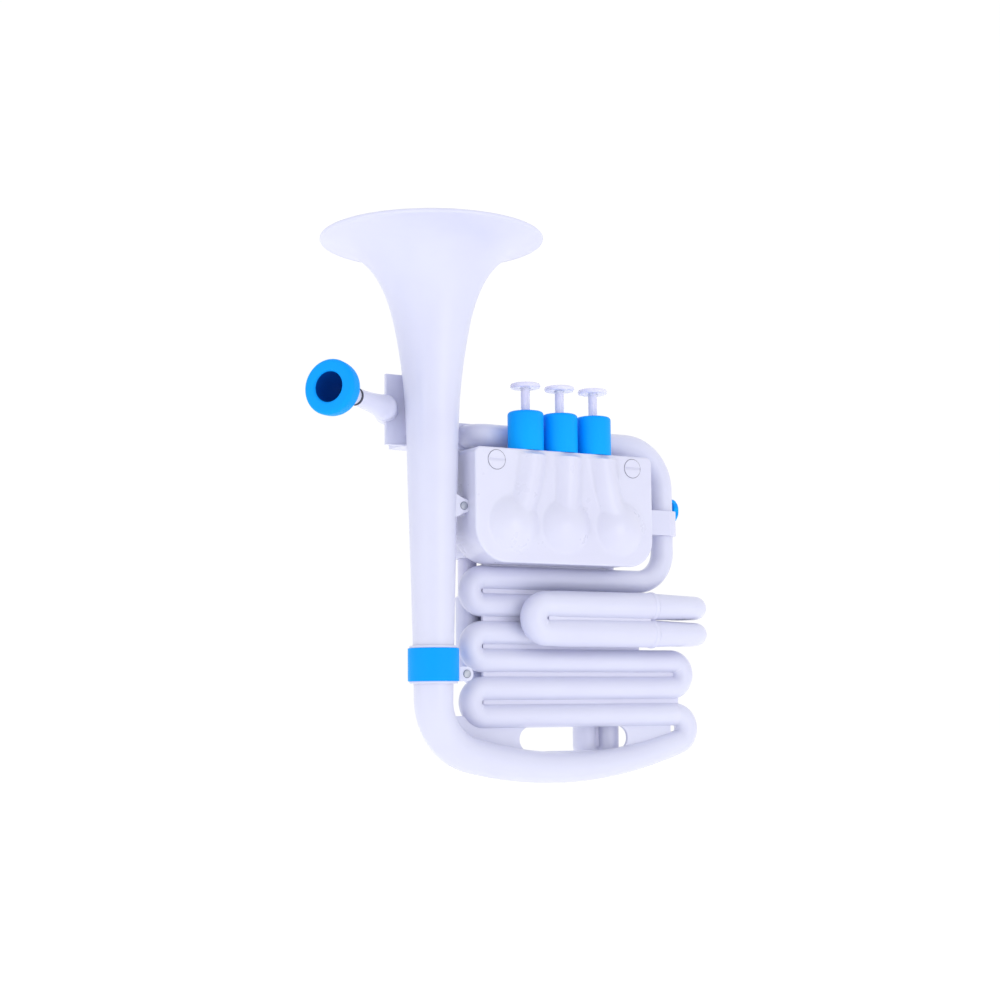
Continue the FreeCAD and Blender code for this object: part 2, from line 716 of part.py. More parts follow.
def make_crank(i):
    """Disc and pin pressed on the rotor's front journal."""
    x = rotor_x[i]
    disc = cyl(rotor_r - 0.6, crank_back - crank_front, V(x, crank_front, rotor_z), Y_AXIS)
    pin_place = V(pin_x(i), fork_front, rotor_z + pin_height)
    pin = cyl(crank_pin_r, crank_back - fork_front, pin_place, Y_AXIS)
    seat = cyl(journal_r, 1.2, V(x, crank_back - 1.2, rotor_z), Y_AXIS)
    return disc.fuse(pin).cut(seat)


def make_rotor_seals():
    """Soft rings round the ports of each rotor's housing."""
    rings = []
    for x in rotor_x:
        for side in (-1, 1):
            start = V(x + side * (rotor_r + 0.5), rotor_y, rotor_z)
            rings.append(ring(rotor_bore_r, rotor_bore_r - 1.2, 2.2, start, V(side, 0, 0)))
    return Part.makeCompound(rings)


# ---------------------------------------------------------------- tuning slide
def make_tuning_slide():
    upper_z, lower_z = row_z[1], row_z[2]
    end_x = tuning_bend_x - row_bend_r
    points = [V(tuning_mouth_x, tuning_y, upper_z), V(end_x, tuning_y, upper_z),
              V(end_x, tuning_y, lower_z), V(tuning_mouth_x, tuning_y, lower_z)]
    outside = rod(points, [row_bend_r, row_bend_r], row_bend_r - 0.1)
    bore = rod(points, [row_bend_r, row_bend_r], slide_bore_r)
    between = box(tuning_bend_x, tuning_mouth_x, tuning_y - 2, tuning_y + 2, lower_z, upper_z)
    slide = outside.fuse(between)
    for z in (upper_z, lower_z):
        sleeve_start = V(tuning_bend_x, tuning_y, z)
        slide = slide.fuse(cyl(tuning_sleeve_r, tuning_mouth_x - tuning_bend_x, sleeve_start, X_AXIS))
        slide = slide.fuse(cyl(bead_r, bead_length, V(tuning_mouth_x - bead_length, tuning_y, z), X_AXIS))
    slide = slide.cut(bore)
    for z in (upper_z, lower_z):
        slide = slide.cut(cyl(tuning_leg_r + running_gap, tuning_mouth_x - tuning_bend_x,
                              V(tuning_bend_x, tuning_y, z), X_AXIS))
    return slide


def make_tuning_legs():
    legs = []
    for z in (row_z[1], row_z[2]):
        start = tuning_bend_x + 3
        leg = ring(tuning_leg_r, slide_bore_r, tuning_mouth_x + 6 - start, V(start, tuning_y, z), X_AXIS)
        groove = ring(tuning_leg_r + 1, tuning_leg_r - 0.8, 1.6, V(tuning_mouth_x - 12, tuning_y, z), X_AXIS)
        legs.append(leg.cut(groove))
    return Part.makeCompound(legs)


def make_tuning_seals():
    rings = []
    for z in (row_z[1], row_z[2]):
        rings.append(ring(tuning_leg_r + running_gap / 2, tuning_leg_r - 0.8, 1.6,
                          V(tuning_mouth_x - 12, tuning_y, z), X_AXIS))
    return Part.makeCompound(rings)


def make_return_bend(z):
    """Elbow that brings a row round to the front and holds a leg of the tuning slide."""
    mouth = tuning_mouth_x + body_gap
    swing = -tuning_y / 2
    points = [V(return_bend_x - 5, 0, z), V(return_bend_x + swing, 0, z),
              V(return_bend_x + swing, tuning_y, z), V(mouth, tuning_y, z)]
    outside = rod(points, [swing, swing], return_r)
    cone = Part.makeCone(return_mouth_r, return_r, return_bend_x - mouth, V(mouth, tuning_y, z), X_AXIS)
    bore = rod(points, [swing, swing], slide_bore_r)
    leg_seat = cyl(tuning_leg_r, 6 - body_gap, V(mouth, tuning_y, z), X_AXIS)
    return outside.fuse(cone).cut(bore).cut(leg_seat)


# ---------------------------------------------------------------- valve slides
def make_valve_slide(i):
    left, right = slide_x[i], slide_x[i] + slide_pitch
    bend_r = slide_pitch / 2
    floor = slide_bend_z[i] - bend_r
    mouth = slide_mouth_z[i]
    points = [V(left, slide_y, mouth), V(left, slide_y, floor),
              V(right, slide_y, floor), V(right, slide_y, mouth)]
    slide = rod(points, [bend_r, bend_r], slide_sleeve_r)
    slide = slide.fuse(box(left, right, slide_y - 1.5, slide_y + 1.5, slide_bend_z[i] - 2, mouth - 6))
    slide = slide.cut(rod(points, [bend_r, bend_r], slide_bore_r - 0.7))
    for x in (left, right):
        leg_foot = V(x, slide_y, slide_bend_z[i])
        slide = slide.cut(cyl(slide_leg_r + running_gap, mouth - slide_bend_z[i], leg_foot))
    return slide


def make_slide_legs(i):
    legs = []
    for x in (slide_x[i], slide_x[i] + slide_pitch):
        bottom = slide_bend_z[i] + 2
        legs.append(ring(slide_leg_r, slide_bore_r - 0.7, block_bottom + 8 - bottom, V(x, slide_y, bottom)))
    return Part.makeCompound(legs)


def make_rear_block():
    """Block on the valve box that carries the legs of the three valve slides."""
    front = case_back
    block = box(block_left, block_right, front, block_back, block_bottom, block_top)
    block = rounded(block, 5.0, lambda e: abs(e.CenterOfMass.y - block_back) < 0.01
                    or (abs(e.CenterOfMass.y - (front + block_back) / 2) < 0.01))
    room = box(block_left + shell, block_right - shell, front, block_back - shell,
               block_bottom + 12, block_top - shell)
    block = block.cut(room)
    for x in slide_x:
        for leg_x in (x, x + slide_pitch):
            block = block.cut(cyl(slide_leg_r, 8, V(leg_x, slide_y, block_bottom)))
            block = block.cut(cyl(slide_bore_r, 30, V(leg_x, slide_y, block_bottom)))
    for x in feed_x():
        block = block.cut(cyl(5.0, 20, V(x, feed_y(), block_top - 10)))
    return block


def feed_x():
    return [block_left + 11, block_left + 29]


def feed_y():
    return (plate_front + plate_t + manifold_back) / 2 - 3


def make_feed_tubes():
    tubes = [ring(6.5, 5.0, plate_bottom - block_top, V(x, feed_y(), block_top)) for x in feed_x()]
    return Part.makeCompound(tubes)


# ---------------------------------------------------------------- leadpipe and its holder
def holder_outline(inset, y):
    left, low, high = plate_left + inset, plate_bottom, plate_top
    points = [V(left, y, low), V(arm_right, y, low), V(arm_right, y, arm_top), V(plate_right, y, arm_top),
              V(plate_right, y, high), V(left, y, high), V(left, y, low)]
    return Part.makePolygon(points)


def socket_boss():
    """Round boss behind the ball, turned into the holder block at its end."""
    straight = cyl(boss_r, duct_reach - ball_r / 2, swivel + swivel_axis * (ball_r / 2), swivel_axis)
    corner = Part.makeSphere(boss_r, duct_start)
    across = cyl(boss_r, plate_left + manifold_inset + 2 - duct_start.x, duct_start, X_AXIS)
    return straight.multiFuse([corner, across])


def socket_space():
    seat = Part.makeSphere(ball_r + body_gap, swivel)
    bore = cyl(spigot_r + running_gap, spigot_length + 1, swivel, swivel_axis)
    return seat.fuse(bore)


def make_holder_plate():
    plate = slab(holder_outline(0, plate_front), plate_t)
    plate = plate.cut(socket_boss()).cut(socket_space())
    plate = plate.cut(cyl(bore_r, 60, V(top_elbow_x, 0, top_tube_z), Y_AXIS))
    return rounded(plate, 0.6, lambda e: abs(e.CenterOfMass.y - plate_front) < 0.01
                   and e.Curve.TypeId == "Part::GeomLine")


def make_manifold():
    front = plate_front + plate_t
    body = slab(holder_outline(manifold_inset, front), manifold_back - front)
    body = body.multiFuse([socket_boss()])
    drop_x = plate_right - 12
    channel = [duct_start, V(drop_x, duct_y, swivel_z), V(drop_x, duct_y, top_tube_z),
               V(top_elbow_x - 8, duct_y, top_tube_z)]
    body = body.cut(rod(channel, [8, 8], duct_r))
    body = body.cut(cyl(duct_r, duct_y, V(top_elbow_x, 0, top_tube_z), Y_AXIS))
    for x in feed_x():
        body = body.cut(cyl(duct_r, 12, V(x, feed_y(), plate_bottom)))
    body = body.cut(socket_space())
    return body.cut(cyl(pipe_bore_r, duct_reach, swivel, swivel_axis))


def make_bell_saddle():
    block = box(bell_x - 11, bell_x + 11, bell_y, plate_front, plate_bottom + 8, plate_top - 8)
    return block.cut(bell_solid())


def make_leadpipe():
    ball = Part.makeSphere(ball_r, swivel)
    spigot = cyl(spigot_r, spigot_length, swivel, swivel_axis)
    pipe = Part.makeCone(leadpipe_root_r, leadpipe_end_r, leadpipe_length, swivel, lead)
    bore = Part.makeCone(pipe_bore_r, shank_r - 0.6, leadpipe_length, swivel, lead)
    mouth = cyl(shank_r + running_gap, shank_depth + 1, swivel + lead * (leadpipe_length - shank_depth), lead)
    side = cyl(pipe_bore_r, spigot_length + 1, swivel, swivel_axis)
    return fused([ball, spigot, pipe]).cut(bore).cut(mouth).cut(side)


def make_seal_ring():
    base = swivel + lead * leadpipe_length
    return ring(leadpipe_end_r + 0.25, shank_r + running_gap, seal_length, base, lead)


def make_shank():
    start = leadpipe_length - shank_depth + 1
    visible = leadpipe_length + seal_length + body_gap
    shoulder = leadpipe_end_r + 0.6
    outline = [(start, throat_r), (start, shank_r), (visible, shank_r), (visible, leadpipe_end_r - 0.4),
               (visible + shank_length / 2, shoulder), (visible + shank_length, shoulder),
               (visible + shank_length, throat_r)]
    return revolved(outline, swivel, lead)


def make_cup():
    back = leadpipe_length + seal_length + body_gap + shank_length
    rim = back + cup_length
    outline = [(back, throat_r), (back, leadpipe_end_r + 1.6), (back + 3, leadpipe_end_r + 3.6),
               (back + 8, cup_rim_r - 4.0), (back + 12, cup_rim_r - 1.3), (back + 16, cup_rim_r - 0.3),
               (rim - 3, cup_rim_r), (rim - 0.8, cup_rim_r - 0.6), (rim, cup_rim_r - 2.4),
               (rim, cup_mouth_r + 1.6), (rim - 1.6, cup_mouth_r), (rim - cup_depth * 0.6, cup_mouth_r - 1.6),
               (rim - cup_depth * 0.9, 2 * throat_r), (rim - cup_depth, throat_r)]
    return revolved(outline, swivel, lead)


# ---------------------------------------------------------------- clip on the riser
def make_clip():
    strap_r = tube_r + clip_t
    strap = box(case_right, riser_x, -strap_r, strap_r, clip_bottom, clip_top)
    strap = strap.fuse(cyl(strap_r, clip_top - clip_bottom, V(riser_x, 0, clip_bottom)))
    block = box(lyre_x - 7, knob_x - 4, 9, lyre_y + 7, clip_bottom, lyre_block_top)
    clip = strap.fuse(block)
    clip = clip.cut(cyl(tube_r, 80, V(riser_x, 0, clip_bottom - 20)))
    clip = clip.cut(box(case_right, riser_x - tube_r - 4, -strap_r + clip_t, strap_r - clip_t,
                        clip_bottom, clip_top))
    clip = clip.cut(cyl(lyre_r, 80, V(lyre_x, lyre_y, clip_bottom - 20)))
    return clip.cut(cyl(knob_shaft_r + running_gap, 60, V(lyre_x, lyre_y - 3, knob_z), X_AXIS))


def make_knob():
    """Thumb screw that clamps the stem of a music lyre."""
    y = lyre_y - 3
    head = cyl(knob_r, knob_t, V(knob_x, y, knob_z), X_AXIS)
    head = rounded(head, 1.0, lambda e: e.Length > 6 * knob_r)
    for i in range(8):
        a = radians(45 * i)
        place = V(knob_x - 1, y + (knob_r + 1.6) * cos(a), knob_z + (knob_r + 1.6) * sin(a))
        head = head.cut(cyl(2.4, knob_t + 2, place, X_AXIS))
    tip_x = lyre_x + lyre_r + 0.6
    shaft = cyl(knob_shaft_r, knob_x - tip_x, V(tip_x, y, knob_z), X_AXIS)
    return head.fuse(shaft)


# ---------------------------------------------------------------- build
def main():
    os.makedirs("parts", exist_ok=True)
    front_shell, rear_shell = make_body_shells()
    save("bell", make_bell())
    save("bell_joint_collar", make_collar())
    save("bell_clamp_band", make_band())
    save("foot_lug", make_foot_lug())
    save("foot_lug_pin", pin_on_y(foot_lug_x, foot_lug_y - pin_proud, foot_lug_z, foot_pin_length))
    save("bell_brace", make_bell_brace())
    brace_pin = pin_on_y(brace_x, brace_y - pin_proud, brace_z, brace_pin_length)
    save("bell_brace_pin", brace_pin.cut(bell_clearance(brace_z - 8, 16)))
    save("bell_saddle", make_bell_saddle())
    save("bottom_bow", make_bow())
    save("body_front_shell", front_shell)
    save("body_rear_shell", rear_shell)
    save("top_tube", make_top_tube())
    save("riser_clip", make_clip())
    save("lyre_thumb_screw", make_knob())
    save("leadpipe_holder_plate", make_holder_plate())
    save("leadpipe_manifold", make_manifold())
    save("valve_feed_tubes", make_feed_tubes())
    save("leadpipe", make_leadpipe())
    save("leadpipe_seal_ring", make_seal_ring())
    save("mouthpiece_shank", make_shank())
    save("mouthpiece_cup", make_cup())
    save("valve_casing", make_casing())
    save("valve_cover", make_cover())
    for name, (x, z) in zip(("left", "right"), screw_places):
        save("cover_screw_" + name, make_cover_screw(x, z))
    for i, x in enumerate(valve_x):
        number = str(i + 1)
        save("valve_barrel_" + number, make_barrel(x))
        save("valve_stem_" + number, make_stem(x))
        save("valve_button_" + number, make_button(x))
        save("valve_spring_" + number, make_spring(x))
        save("valve_fork_" + number, make_fork(i))
        save("valve_rotor_" + number, make_rotor(i))
        save("valve_crank_" + number, make_crank(i))
        save("valve_slide_" + number, make_valve_slide(i))
        save("valve_slide_legs_" + number, make_slide_legs(i))
    save("rotor_seals", make_rotor_seals())
    save("rear_slide_block", make_rear_block())
    save("tuning_slide", make_tuning_slide())
    save("tuning_slide_legs", make_tuning_legs())
    save("tuning_slide_seals", make_tuning_seals())
    save("upper_return_bend", make_return_bend(row_z[1]))
    save("lower_return_bend", make_return_bend(row_z[2]))


main()
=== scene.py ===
"""Looks of the small plastic three-valve horn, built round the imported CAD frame. Metres."""

from math import acos, atan2, copysign, cos, pi, radians, sin, sqrt

import bmesh
import bpy
import numpy as np
from mathutils import Matrix, Vector


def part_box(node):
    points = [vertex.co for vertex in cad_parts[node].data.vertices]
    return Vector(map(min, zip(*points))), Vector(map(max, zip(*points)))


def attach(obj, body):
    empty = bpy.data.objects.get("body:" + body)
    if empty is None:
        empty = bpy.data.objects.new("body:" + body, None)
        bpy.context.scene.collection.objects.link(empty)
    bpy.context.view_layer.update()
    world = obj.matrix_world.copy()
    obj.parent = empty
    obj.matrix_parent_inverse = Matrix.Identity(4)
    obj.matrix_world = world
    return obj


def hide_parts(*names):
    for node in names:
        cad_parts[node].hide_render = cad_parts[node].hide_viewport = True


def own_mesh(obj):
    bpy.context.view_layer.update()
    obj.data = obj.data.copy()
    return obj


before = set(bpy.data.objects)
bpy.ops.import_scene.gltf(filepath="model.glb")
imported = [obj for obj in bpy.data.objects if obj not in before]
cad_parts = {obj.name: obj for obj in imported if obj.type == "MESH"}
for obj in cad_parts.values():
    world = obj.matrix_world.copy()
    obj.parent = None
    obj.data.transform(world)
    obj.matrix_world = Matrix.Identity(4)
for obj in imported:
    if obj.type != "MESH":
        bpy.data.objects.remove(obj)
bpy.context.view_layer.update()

MM = 0.001

# ---- sizes and places
# Read from the frame
bell_low, bell_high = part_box("bell")
bell_x = (bell_low.x + bell_high.x) / 2
bell_y = (bell_low.y + bell_high.y) / 2
bell_foot_z = bell_low.z
cover_low, cover_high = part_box("valve_cover")
case_low, case_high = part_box("valve_casing")
band_low, band_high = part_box("bell_clamp_band")
collar_low, collar_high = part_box("bell_joint_collar")

# The same design values as the CAD source, in metres
wall = 2.4 * MM
bead_r = 1.7 * MM
bell_outline = [(0.0, 15.3), (84.0, 17.4), (150.0, 19.4), (204.0, 21.4), (245.0, 26.6),
                (279.0, 34.7), (302.0, 46.5), (316.0, 62.0), (324.7, 84.6)]
tube_r = 9.1 * MM
bore_r = 6.5 * MM
row_pitch = 21.4 * MM
row_count = 6
lowest_row_z = 18.0 * MM
row_z = [lowest_row_z + row_pitch * (row_count - 1 - i) for i in range(row_count)]
row_bend_r = row_pitch / 2
stack_left = -92.5 * MM
stack_right = 104.6 * MM
web_t = 3.0 * MM
web_reach = 6.0 * MM
slot_length = 100.0 * MM
slot_height = 19.0 * MM
riser_x = 87.5 * MM
riser_bend_r = 25.3 * MM
riser_joint_z = 172.0 * MM
top_tube_z = 236.0 * MM
top_bend_r = 35.0 * MM
top_elbow_x = -88.0 * MM
top_elbow_r = 12.0 * MM
plate_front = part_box("leadpipe_holder_plate")[0].y
bow_bend_r = 44.0 * MM
bow_fall = radians(14.5)
bow_rise = radians(18.0)
bow_bend_top = 31.3 * MM
bow_start_r = 15.3 * MM
bow_end_r = 9.6 * MM
bow_end_bend_r = 11.4 * MM
bow_end_x = 96.3 * MM
return_bend_x = 98.9 * MM
return_r = 9.3 * MM
return_mouth_r = 10.6 * MM
leg_overlap = 5.0 * MM
tuning_y = -21.0 * MM
tuning_mouth_x = 62.8 * MM
tuning_bend_x = -37.1 * MM
sleeve_r = 11.0 * MM
sleeve_bead_r = 11.7 * MM
sleeve_bore_r = 8.06 * MM
slide_bore_r = 6.2 * MM
valve_slide_y = 19.4 * MM
valve_slide_pitch = 22.0 * MM
valve_slide_x = [-84.0 * MM, -30.0 * MM, 22.0 * MM]
valve_slide_bend_z = [60.3 * MM, 108.3 * MM, -5.8 * MM]
valve_slide_mouth_z = [111.0 * MM, 131.0 * MM, 62.0 * MM]
valve_sleeve_r = 9.25 * MM
valve_sleeve_bore_r = 7.56 * MM
valve_slide_bore_r = 5.5 * MM
valve_y = -24.0 * MM
valve_x = [-55.0 * MM, -24.0 * MM, 7.0 * MM]
rotor_x = [-73.5 * MM, -27.0 * MM, 22.5 * MM]
rotor_z = 163.5 * MM
cover_front = -37.0 * MM
cover_t = 3.0 * MM
corner_lower_left = 27.0 * MM
corner_lower_right = 22.0 * MM
corner_top = 5.0 * MM
dome_r = 21.5 * MM
dome_height = 9.2 * MM
neck_half_width = 11.5 * MM
neck_height = 6.6 * MM
neck_top_z = 240.0 * MM
stem_r = 3.5 * MM
barrel_r = 14.05 * MM
spring_wire_r = 0.7 * MM
spring_turns = 6
swivel = Vector((-163.1, 4.0, 252.5)) * MM
swivel_axis = Vector((sin(radians(30.0)), cos(radians(30.0)), 0.0))
lead = Vector((-0.83, -0.56, 0.044)).normalized()
cup_rim_r = 20.7 * MM
cup_mouth_r = 11.2 * MM
cup_depth = 20.0 * MM
throat_r = 2.6 * MM
leadpipe_length = 42.0 * MM

# Fineness of the meshes
around = 72                 # points round a tube
arc_step = radians(3.0)     # turn between two sections of a bend
straight_step = 8 * MM      # distance between two sections of a straight run
tiny = 1e-6                 # shorter than this is no distance
half_gap = 0.06 * MM        # from the parting plane to each half of the tube stack

# Scales of the noise in the materials, per metre
cloud_scale = 18.0
smudge_scale = 45.0
wave_scale = 70.0
speck_scale = 260.0


# ---- mesh helpers
def finish_mesh(name, verts, faces, body, material, sharp=radians(38)):
    """A closed mesh object with smooth shading, riding on a body."""
    mesh = bpy.data.meshes.new(name)
    mesh.from_pydata([tuple(v) for v in verts], [], faces)
    bm = bmesh.new()
    bm.from_mesh(mesh)
    bmesh.ops.remove_doubles(bm, verts=bm.verts, dist=2e-6)
    bmesh.ops.recalc_face_normals(bm, faces=bm.faces)
    bm.to_mesh(mesh)
    bm.free()
    mesh.polygons.foreach_set("use_smooth", [True] * len(mesh.polygons))
    mesh.set_sharp_from_angle(angle=sharp)
    obj = bpy.data.objects.new(name, mesh)
    bpy.context.scene.collection.objects.link(obj)
    obj.data.materials.append(material)
    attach(obj, body)
    return obj


def grid_faces(rows, columns, wrap_columns=True, wrap_rows=False):
    """Quads between neighbouring rings of points."""
    faces = []
    last_row = rows if wrap_rows else rows - 1
    last_column = columns if wrap_columns else columns - 1
    for i in range(last_row):
        for j in range(last_column):
            a = i * columns + j
            b = i * columns + (j + 1) % columns
            c = ((i + 1) % rows) * columns + (j + 1) % columns
            d = ((i + 1) % rows) * columns + j
            faces.append((a, b, c, d))
    return faces


def turned_basis(axis):
    """The axis as a unit vector, and two more across it."""
    axis = Vector(axis).normalized()
    side = axis.cross(Vector((0, 0, 1)))
    if side.length < 1e-3:
        side = Vector((1, 0, 0))
    side.normalize()
    return axis, side, axis.cross(side)


def round_corner(before, corner, after, radius, steps=5):
    """Points of a small arc in place of a profile's corner."""
    p0, p1, p2 = Vector(before), Vector(corner), Vector(after)
    a, b = (p0 - p1), (p2 - p1)
    reach = min(radius, a.length * 0.45, b.length * 0.45)
    start, end = p1 + a.normalized() * reach, p1 + b.normalized() * reach
    points = []
    for k in range(steps + 1):
        t = k / steps
        points.append(start * (1 - t) ** 2 + p1 * 2 * t * (1 - t) + end * t ** 2)
    return [tuple(p) for p in points]


def softened(profile, radius):
    """A closed profile with every corner rounded."""
    points = []
    count = len(profile)
    for i in range(count):
        points += round_corner(profile[i - 1], profile[i], profile[(i + 1) % count], radius)
    return points


def lathe(name, profile, origin, axis, body, material, segments=128, lobes=None):
    """Closed (along, radius) profile turned about an axis. lobes(angle) scales the radius."""
    axis, side, up = turned_basis(axis)
    origin = Vector(origin)
    verts = []
    for along, radius in profile:
        for k in range(segments):
            angle = 2 * pi * k / segments
            r = max(radius, 0.0) * (lobes(angle, along) if lobes else 1.0)
            verts.append(origin + axis * along + (side * cos(angle) + up * sin(angle)) * r)
    return finish_mesh(name, verts, grid_faces(len(profile), segments, True, True),
                       body, material)


def distances(points):
    """Distance travelled along the points, at each of them."""
    travelled = [0.0]
    for a, b in zip(points, points[1:]):
        travelled.append(travelled[-1] + (b - a).length)
    return travelled


def route(corners, radii):
    """Points along straight runs and tangent arcs, with the distance travelled at each."""
    points = [Vector(corners[0])]
    for i, radius in enumerate(radii):
        corner = Vector(corners[i + 1])
        before = (Vector(corners[i]) - corner).normalized()
        after = (Vector(corners[i + 2]) - corner).normalized()
        half = before.angle(after) / 2
        reach = radius / np.tan(half)
        centre = corner + (before + after).normalized() * (radius / sin(half))
        arm = corner + before * reach - centre
        turn = pi - 2 * half
        axis = arm.cross(-before).normalized()
        steps = max(2, int(turn / arc_step))
        start = centre + arm
        run = (start - points[-1]).length
        if run > tiny:
            count = max(2, int(run / straight_step))
            for k in range(1, count):
                points.append(points[-1].lerp(start, 1 / (count - k + 1)))
            points.append(start)
        for k in range(1, steps + 1):
            points.append(centre + Matrix.Rotation(turn * k / steps, 3, axis) @ arm)
    end = Vector(corners[-1])
    run = (end - points[-1]).length
    if run > tiny:
        count = max(1, int(run / straight_step))
        first = points[-1]
        points += [first.lerp(end, (k + 1) / count) for k in range(count)]
    return points, distances(points)


def headings(points):
    """Unit direction of the route at each point."""
    found = []
    for i in range(len(points)):
        a = points[max(i - 1, 0)]
        b = points[min(i + 1, len(points) - 1)]
        found.append((b - a).normalized())
    return found


def section_frames(points):
    """Side and up vectors that turn as little as possible along the points."""
    tangents = headings(points)
    side = tangents[0].cross(Vector((0, 1, 0)))
    if side.length < 1e-3:
        side = tangents[0].cross(Vector((0, 0, 1)))
    side.normalize()
    frames = []
    for tangent in tangents:
        side = (side - tangent * side.dot(tangent)).normalized()
        frames.append((side, tangent.cross(side)))
    return frames


def pipe_rings(points, radius_at, travelled, segments=around):
    """Rings of points round a route, one after another."""
    verts = []
    for p, s, (side, up) in zip(points, travelled, section_frames(points)):
        r = radius_at(s)
        for k in range(segments):
            angle = 2 * pi * k / segments
            verts.append(p + (side * cos(angle) + up * sin(angle)) * r)
    return verts


def pipe(name, points, travelled, r_out, r_in, body, material):
    """Hollow tube along a route. r_out and r_in are numbers or functions of the distance."""
    outer = r_out if callable(r_out) else (lambda s: r_out)
    inner = r_in if callable(r_in) else (lambda s: r_in)
    verts = pipe_rings(points, outer, travelled) + pipe_rings(points, inner, travelled)
    rows = len(points)
    faces = grid_faces(rows, around)
    offset = rows * around
    faces += [tuple(offset + i for i in reversed(f)) for f in grid_faces(rows, around)]
    last = (rows - 1) * around
    for k in range(around):
        n = (k + 1) % around
        faces.append((k, offset + k, offset + n, n))
        faces.append((last + k, last + n, offset + last + n, offset + last + k))
    return finish_mesh(name, verts, faces, body, material)


def stepped(places):
    """Radius along a tube from (distance, radius) pairs, straight in between."""
    where = [p[0] for p in places]
    sizes = [p[1] for p in places]
    return lambda s: float(np.interp(s, where, sizes))


def same_from_both_ends(places, total):
    """As stepped, with the distance taken from the nearer end of the tube."""
    radius_at = stepped(places)
    return lambda s: radius_at(min(s, total - s))


def join_in(target, *others):
    """Makes one object of several that belong to the same piece."""
    target_mesh = bmesh.new()
    target_mesh.from_mesh(target.data)
    for other in others:
        target_mesh.from_mesh(other.data)
        bpy.data.objects.remove(other)
    target_mesh.to_mesh(target.data)
    target_mesh.free()
    return target


# ---- materials
def new_material(name):
    """A material with its nodes, its links and its shader."""
    material = bpy.data.materials.new(name)
    material.use_nodes = True
    nodes = material.node_tree.nodes
    return material, nodes, material.node_tree.links, nodes["Principled BSDF"]


def set_inputs(node, **values):
    """Constant values on a node's sockets, by the sockets' names with _ for a space."""
    for name, value in values.items():
        node.inputs[name.replace("_", " ")].default_value = value


def noise(nodes, links, source, scale, detail, rough=0.5):
    """Noise in the object's own space."""
    node = nodes.new("ShaderNodeTexNoise")
    set_inputs(node, Scale=scale, Detail=detail, Roughness=rough)
    links.new(source.outputs["Object"], node.inputs["Vector"])
    return node.outputs["Fac"]


def ramp(nodes, links, source, stops):
    """Colours by position, from (position, colour) stops."""
    node = nodes.new("ShaderNodeValToRGB")
    links.new(source, node.inputs["Fac"])
    elements = node.color_ramp.elements
    while len(elements) < len(stops):
        elements.new(0.5)
    for element, (position, colour) in zip(elements, stops):
        element.position = position
        element.color = (*colour, 1)
    return node.outputs["Color"]


def blend_colours(nodes, links, factor, first, second):
    """The first colour, with the constant second one over it where the factor is high."""
    node = nodes.new("ShaderNodeMix")
    node.data_type = "RGBA"
    links.new(factor, node.inputs["Factor"])
    links.new(first, node.inputs["A"])
    node.inputs["B"].default_value = (*second, 1)
    return node.outputs["Result"]


def moulded(name, base, low, edge, rough, bump, subsurface=0.0, coat=0.0, speck=0.0, fine=900.0,
            metal=0.0, rough_spread=0.08, shine=0.5, pale_edge_from=0.52):
    """Moulded or machined surface: mottled colour, a lighter colour on sharp edges, uneven gloss and fine
    grain.
    """
    material, nodes, links, shader = new_material(name)
    place = nodes.new("ShaderNodeTexCoord")
    cloud = noise(nodes, links, place, cloud_scale, 3.0)
    colour = ramp(nodes, links, cloud, [(0.3, low), (0.7, base)])
    if speck > 0:
        dots = noise(nodes, links, place, speck_scale, 2.0)
        mask = ramp(nodes, links, dots, [(0.68, (0, 0, 0)), (0.8, (speck, speck, speck))])
        colour = blend_colours(nodes, links, mask, colour, [c * 0.8 for c in low])
    # Colour turns lighter on sharp convex edges, found by pointiness
    geometry = nodes.new("ShaderNodeNewGeometry")
    edges = ramp(nodes, links, geometry.outputs["Pointiness"],
                 [(pale_edge_from, (0, 0, 0)), (pale_edge_from + 0.1, (0.7, 0.7, 0.7))])
    pale_edged_colour = blend_colours(nodes, links, edges, colour, edge)
    links.new(pale_edged_colour, shader.inputs["Base Color"])
    smudge = noise(nodes, links, place, smudge_scale, 4.0, 0.6)
    gloss = nodes.new("ShaderNodeMapRange")
    links.new(smudge, gloss.inputs["Value"])
    set_inputs(gloss, From_Min=0.3, From_Max=0.7,
               To_Min=rough - rough_spread / 2, To_Max=rough + rough_spread / 2)
    links.new(gloss.outputs["Result"], shader.inputs["Roughness"])
    grain = noise(nodes, links, place, fine, 3.0, 0.6)
    wave = noise(nodes, links, place, wave_scale, 1.0)
    total = nodes.new("ShaderNodeMath")
    total.operation = "MULTIPLY_ADD"
    links.new(wave, total.inputs[0])
    total.inputs[1].default_value = 1.5     # the wave's share of the relief, against the grain's 1
    links.new(grain, total.inputs[2])
    relief = nodes.new("ShaderNodeBump")
    set_inputs(relief, Strength=bump, Distance=0.25 * MM)
    links.new(total.outputs["Value"], relief.inputs["Height"])
    links.new(relief.outputs["Normal"], shader.inputs["Normal"])
    set_inputs(shader, Metallic=metal, IOR=1.46, Specular_IOR_Level=shine, Subsurface_Weight=subsurface,
               Subsurface_Scale=4 * MM, Subsurface_Radius=(1.0, 0.95, 1.2), Coat_Weight=coat,
               Coat_Roughness=0.2)
    return material


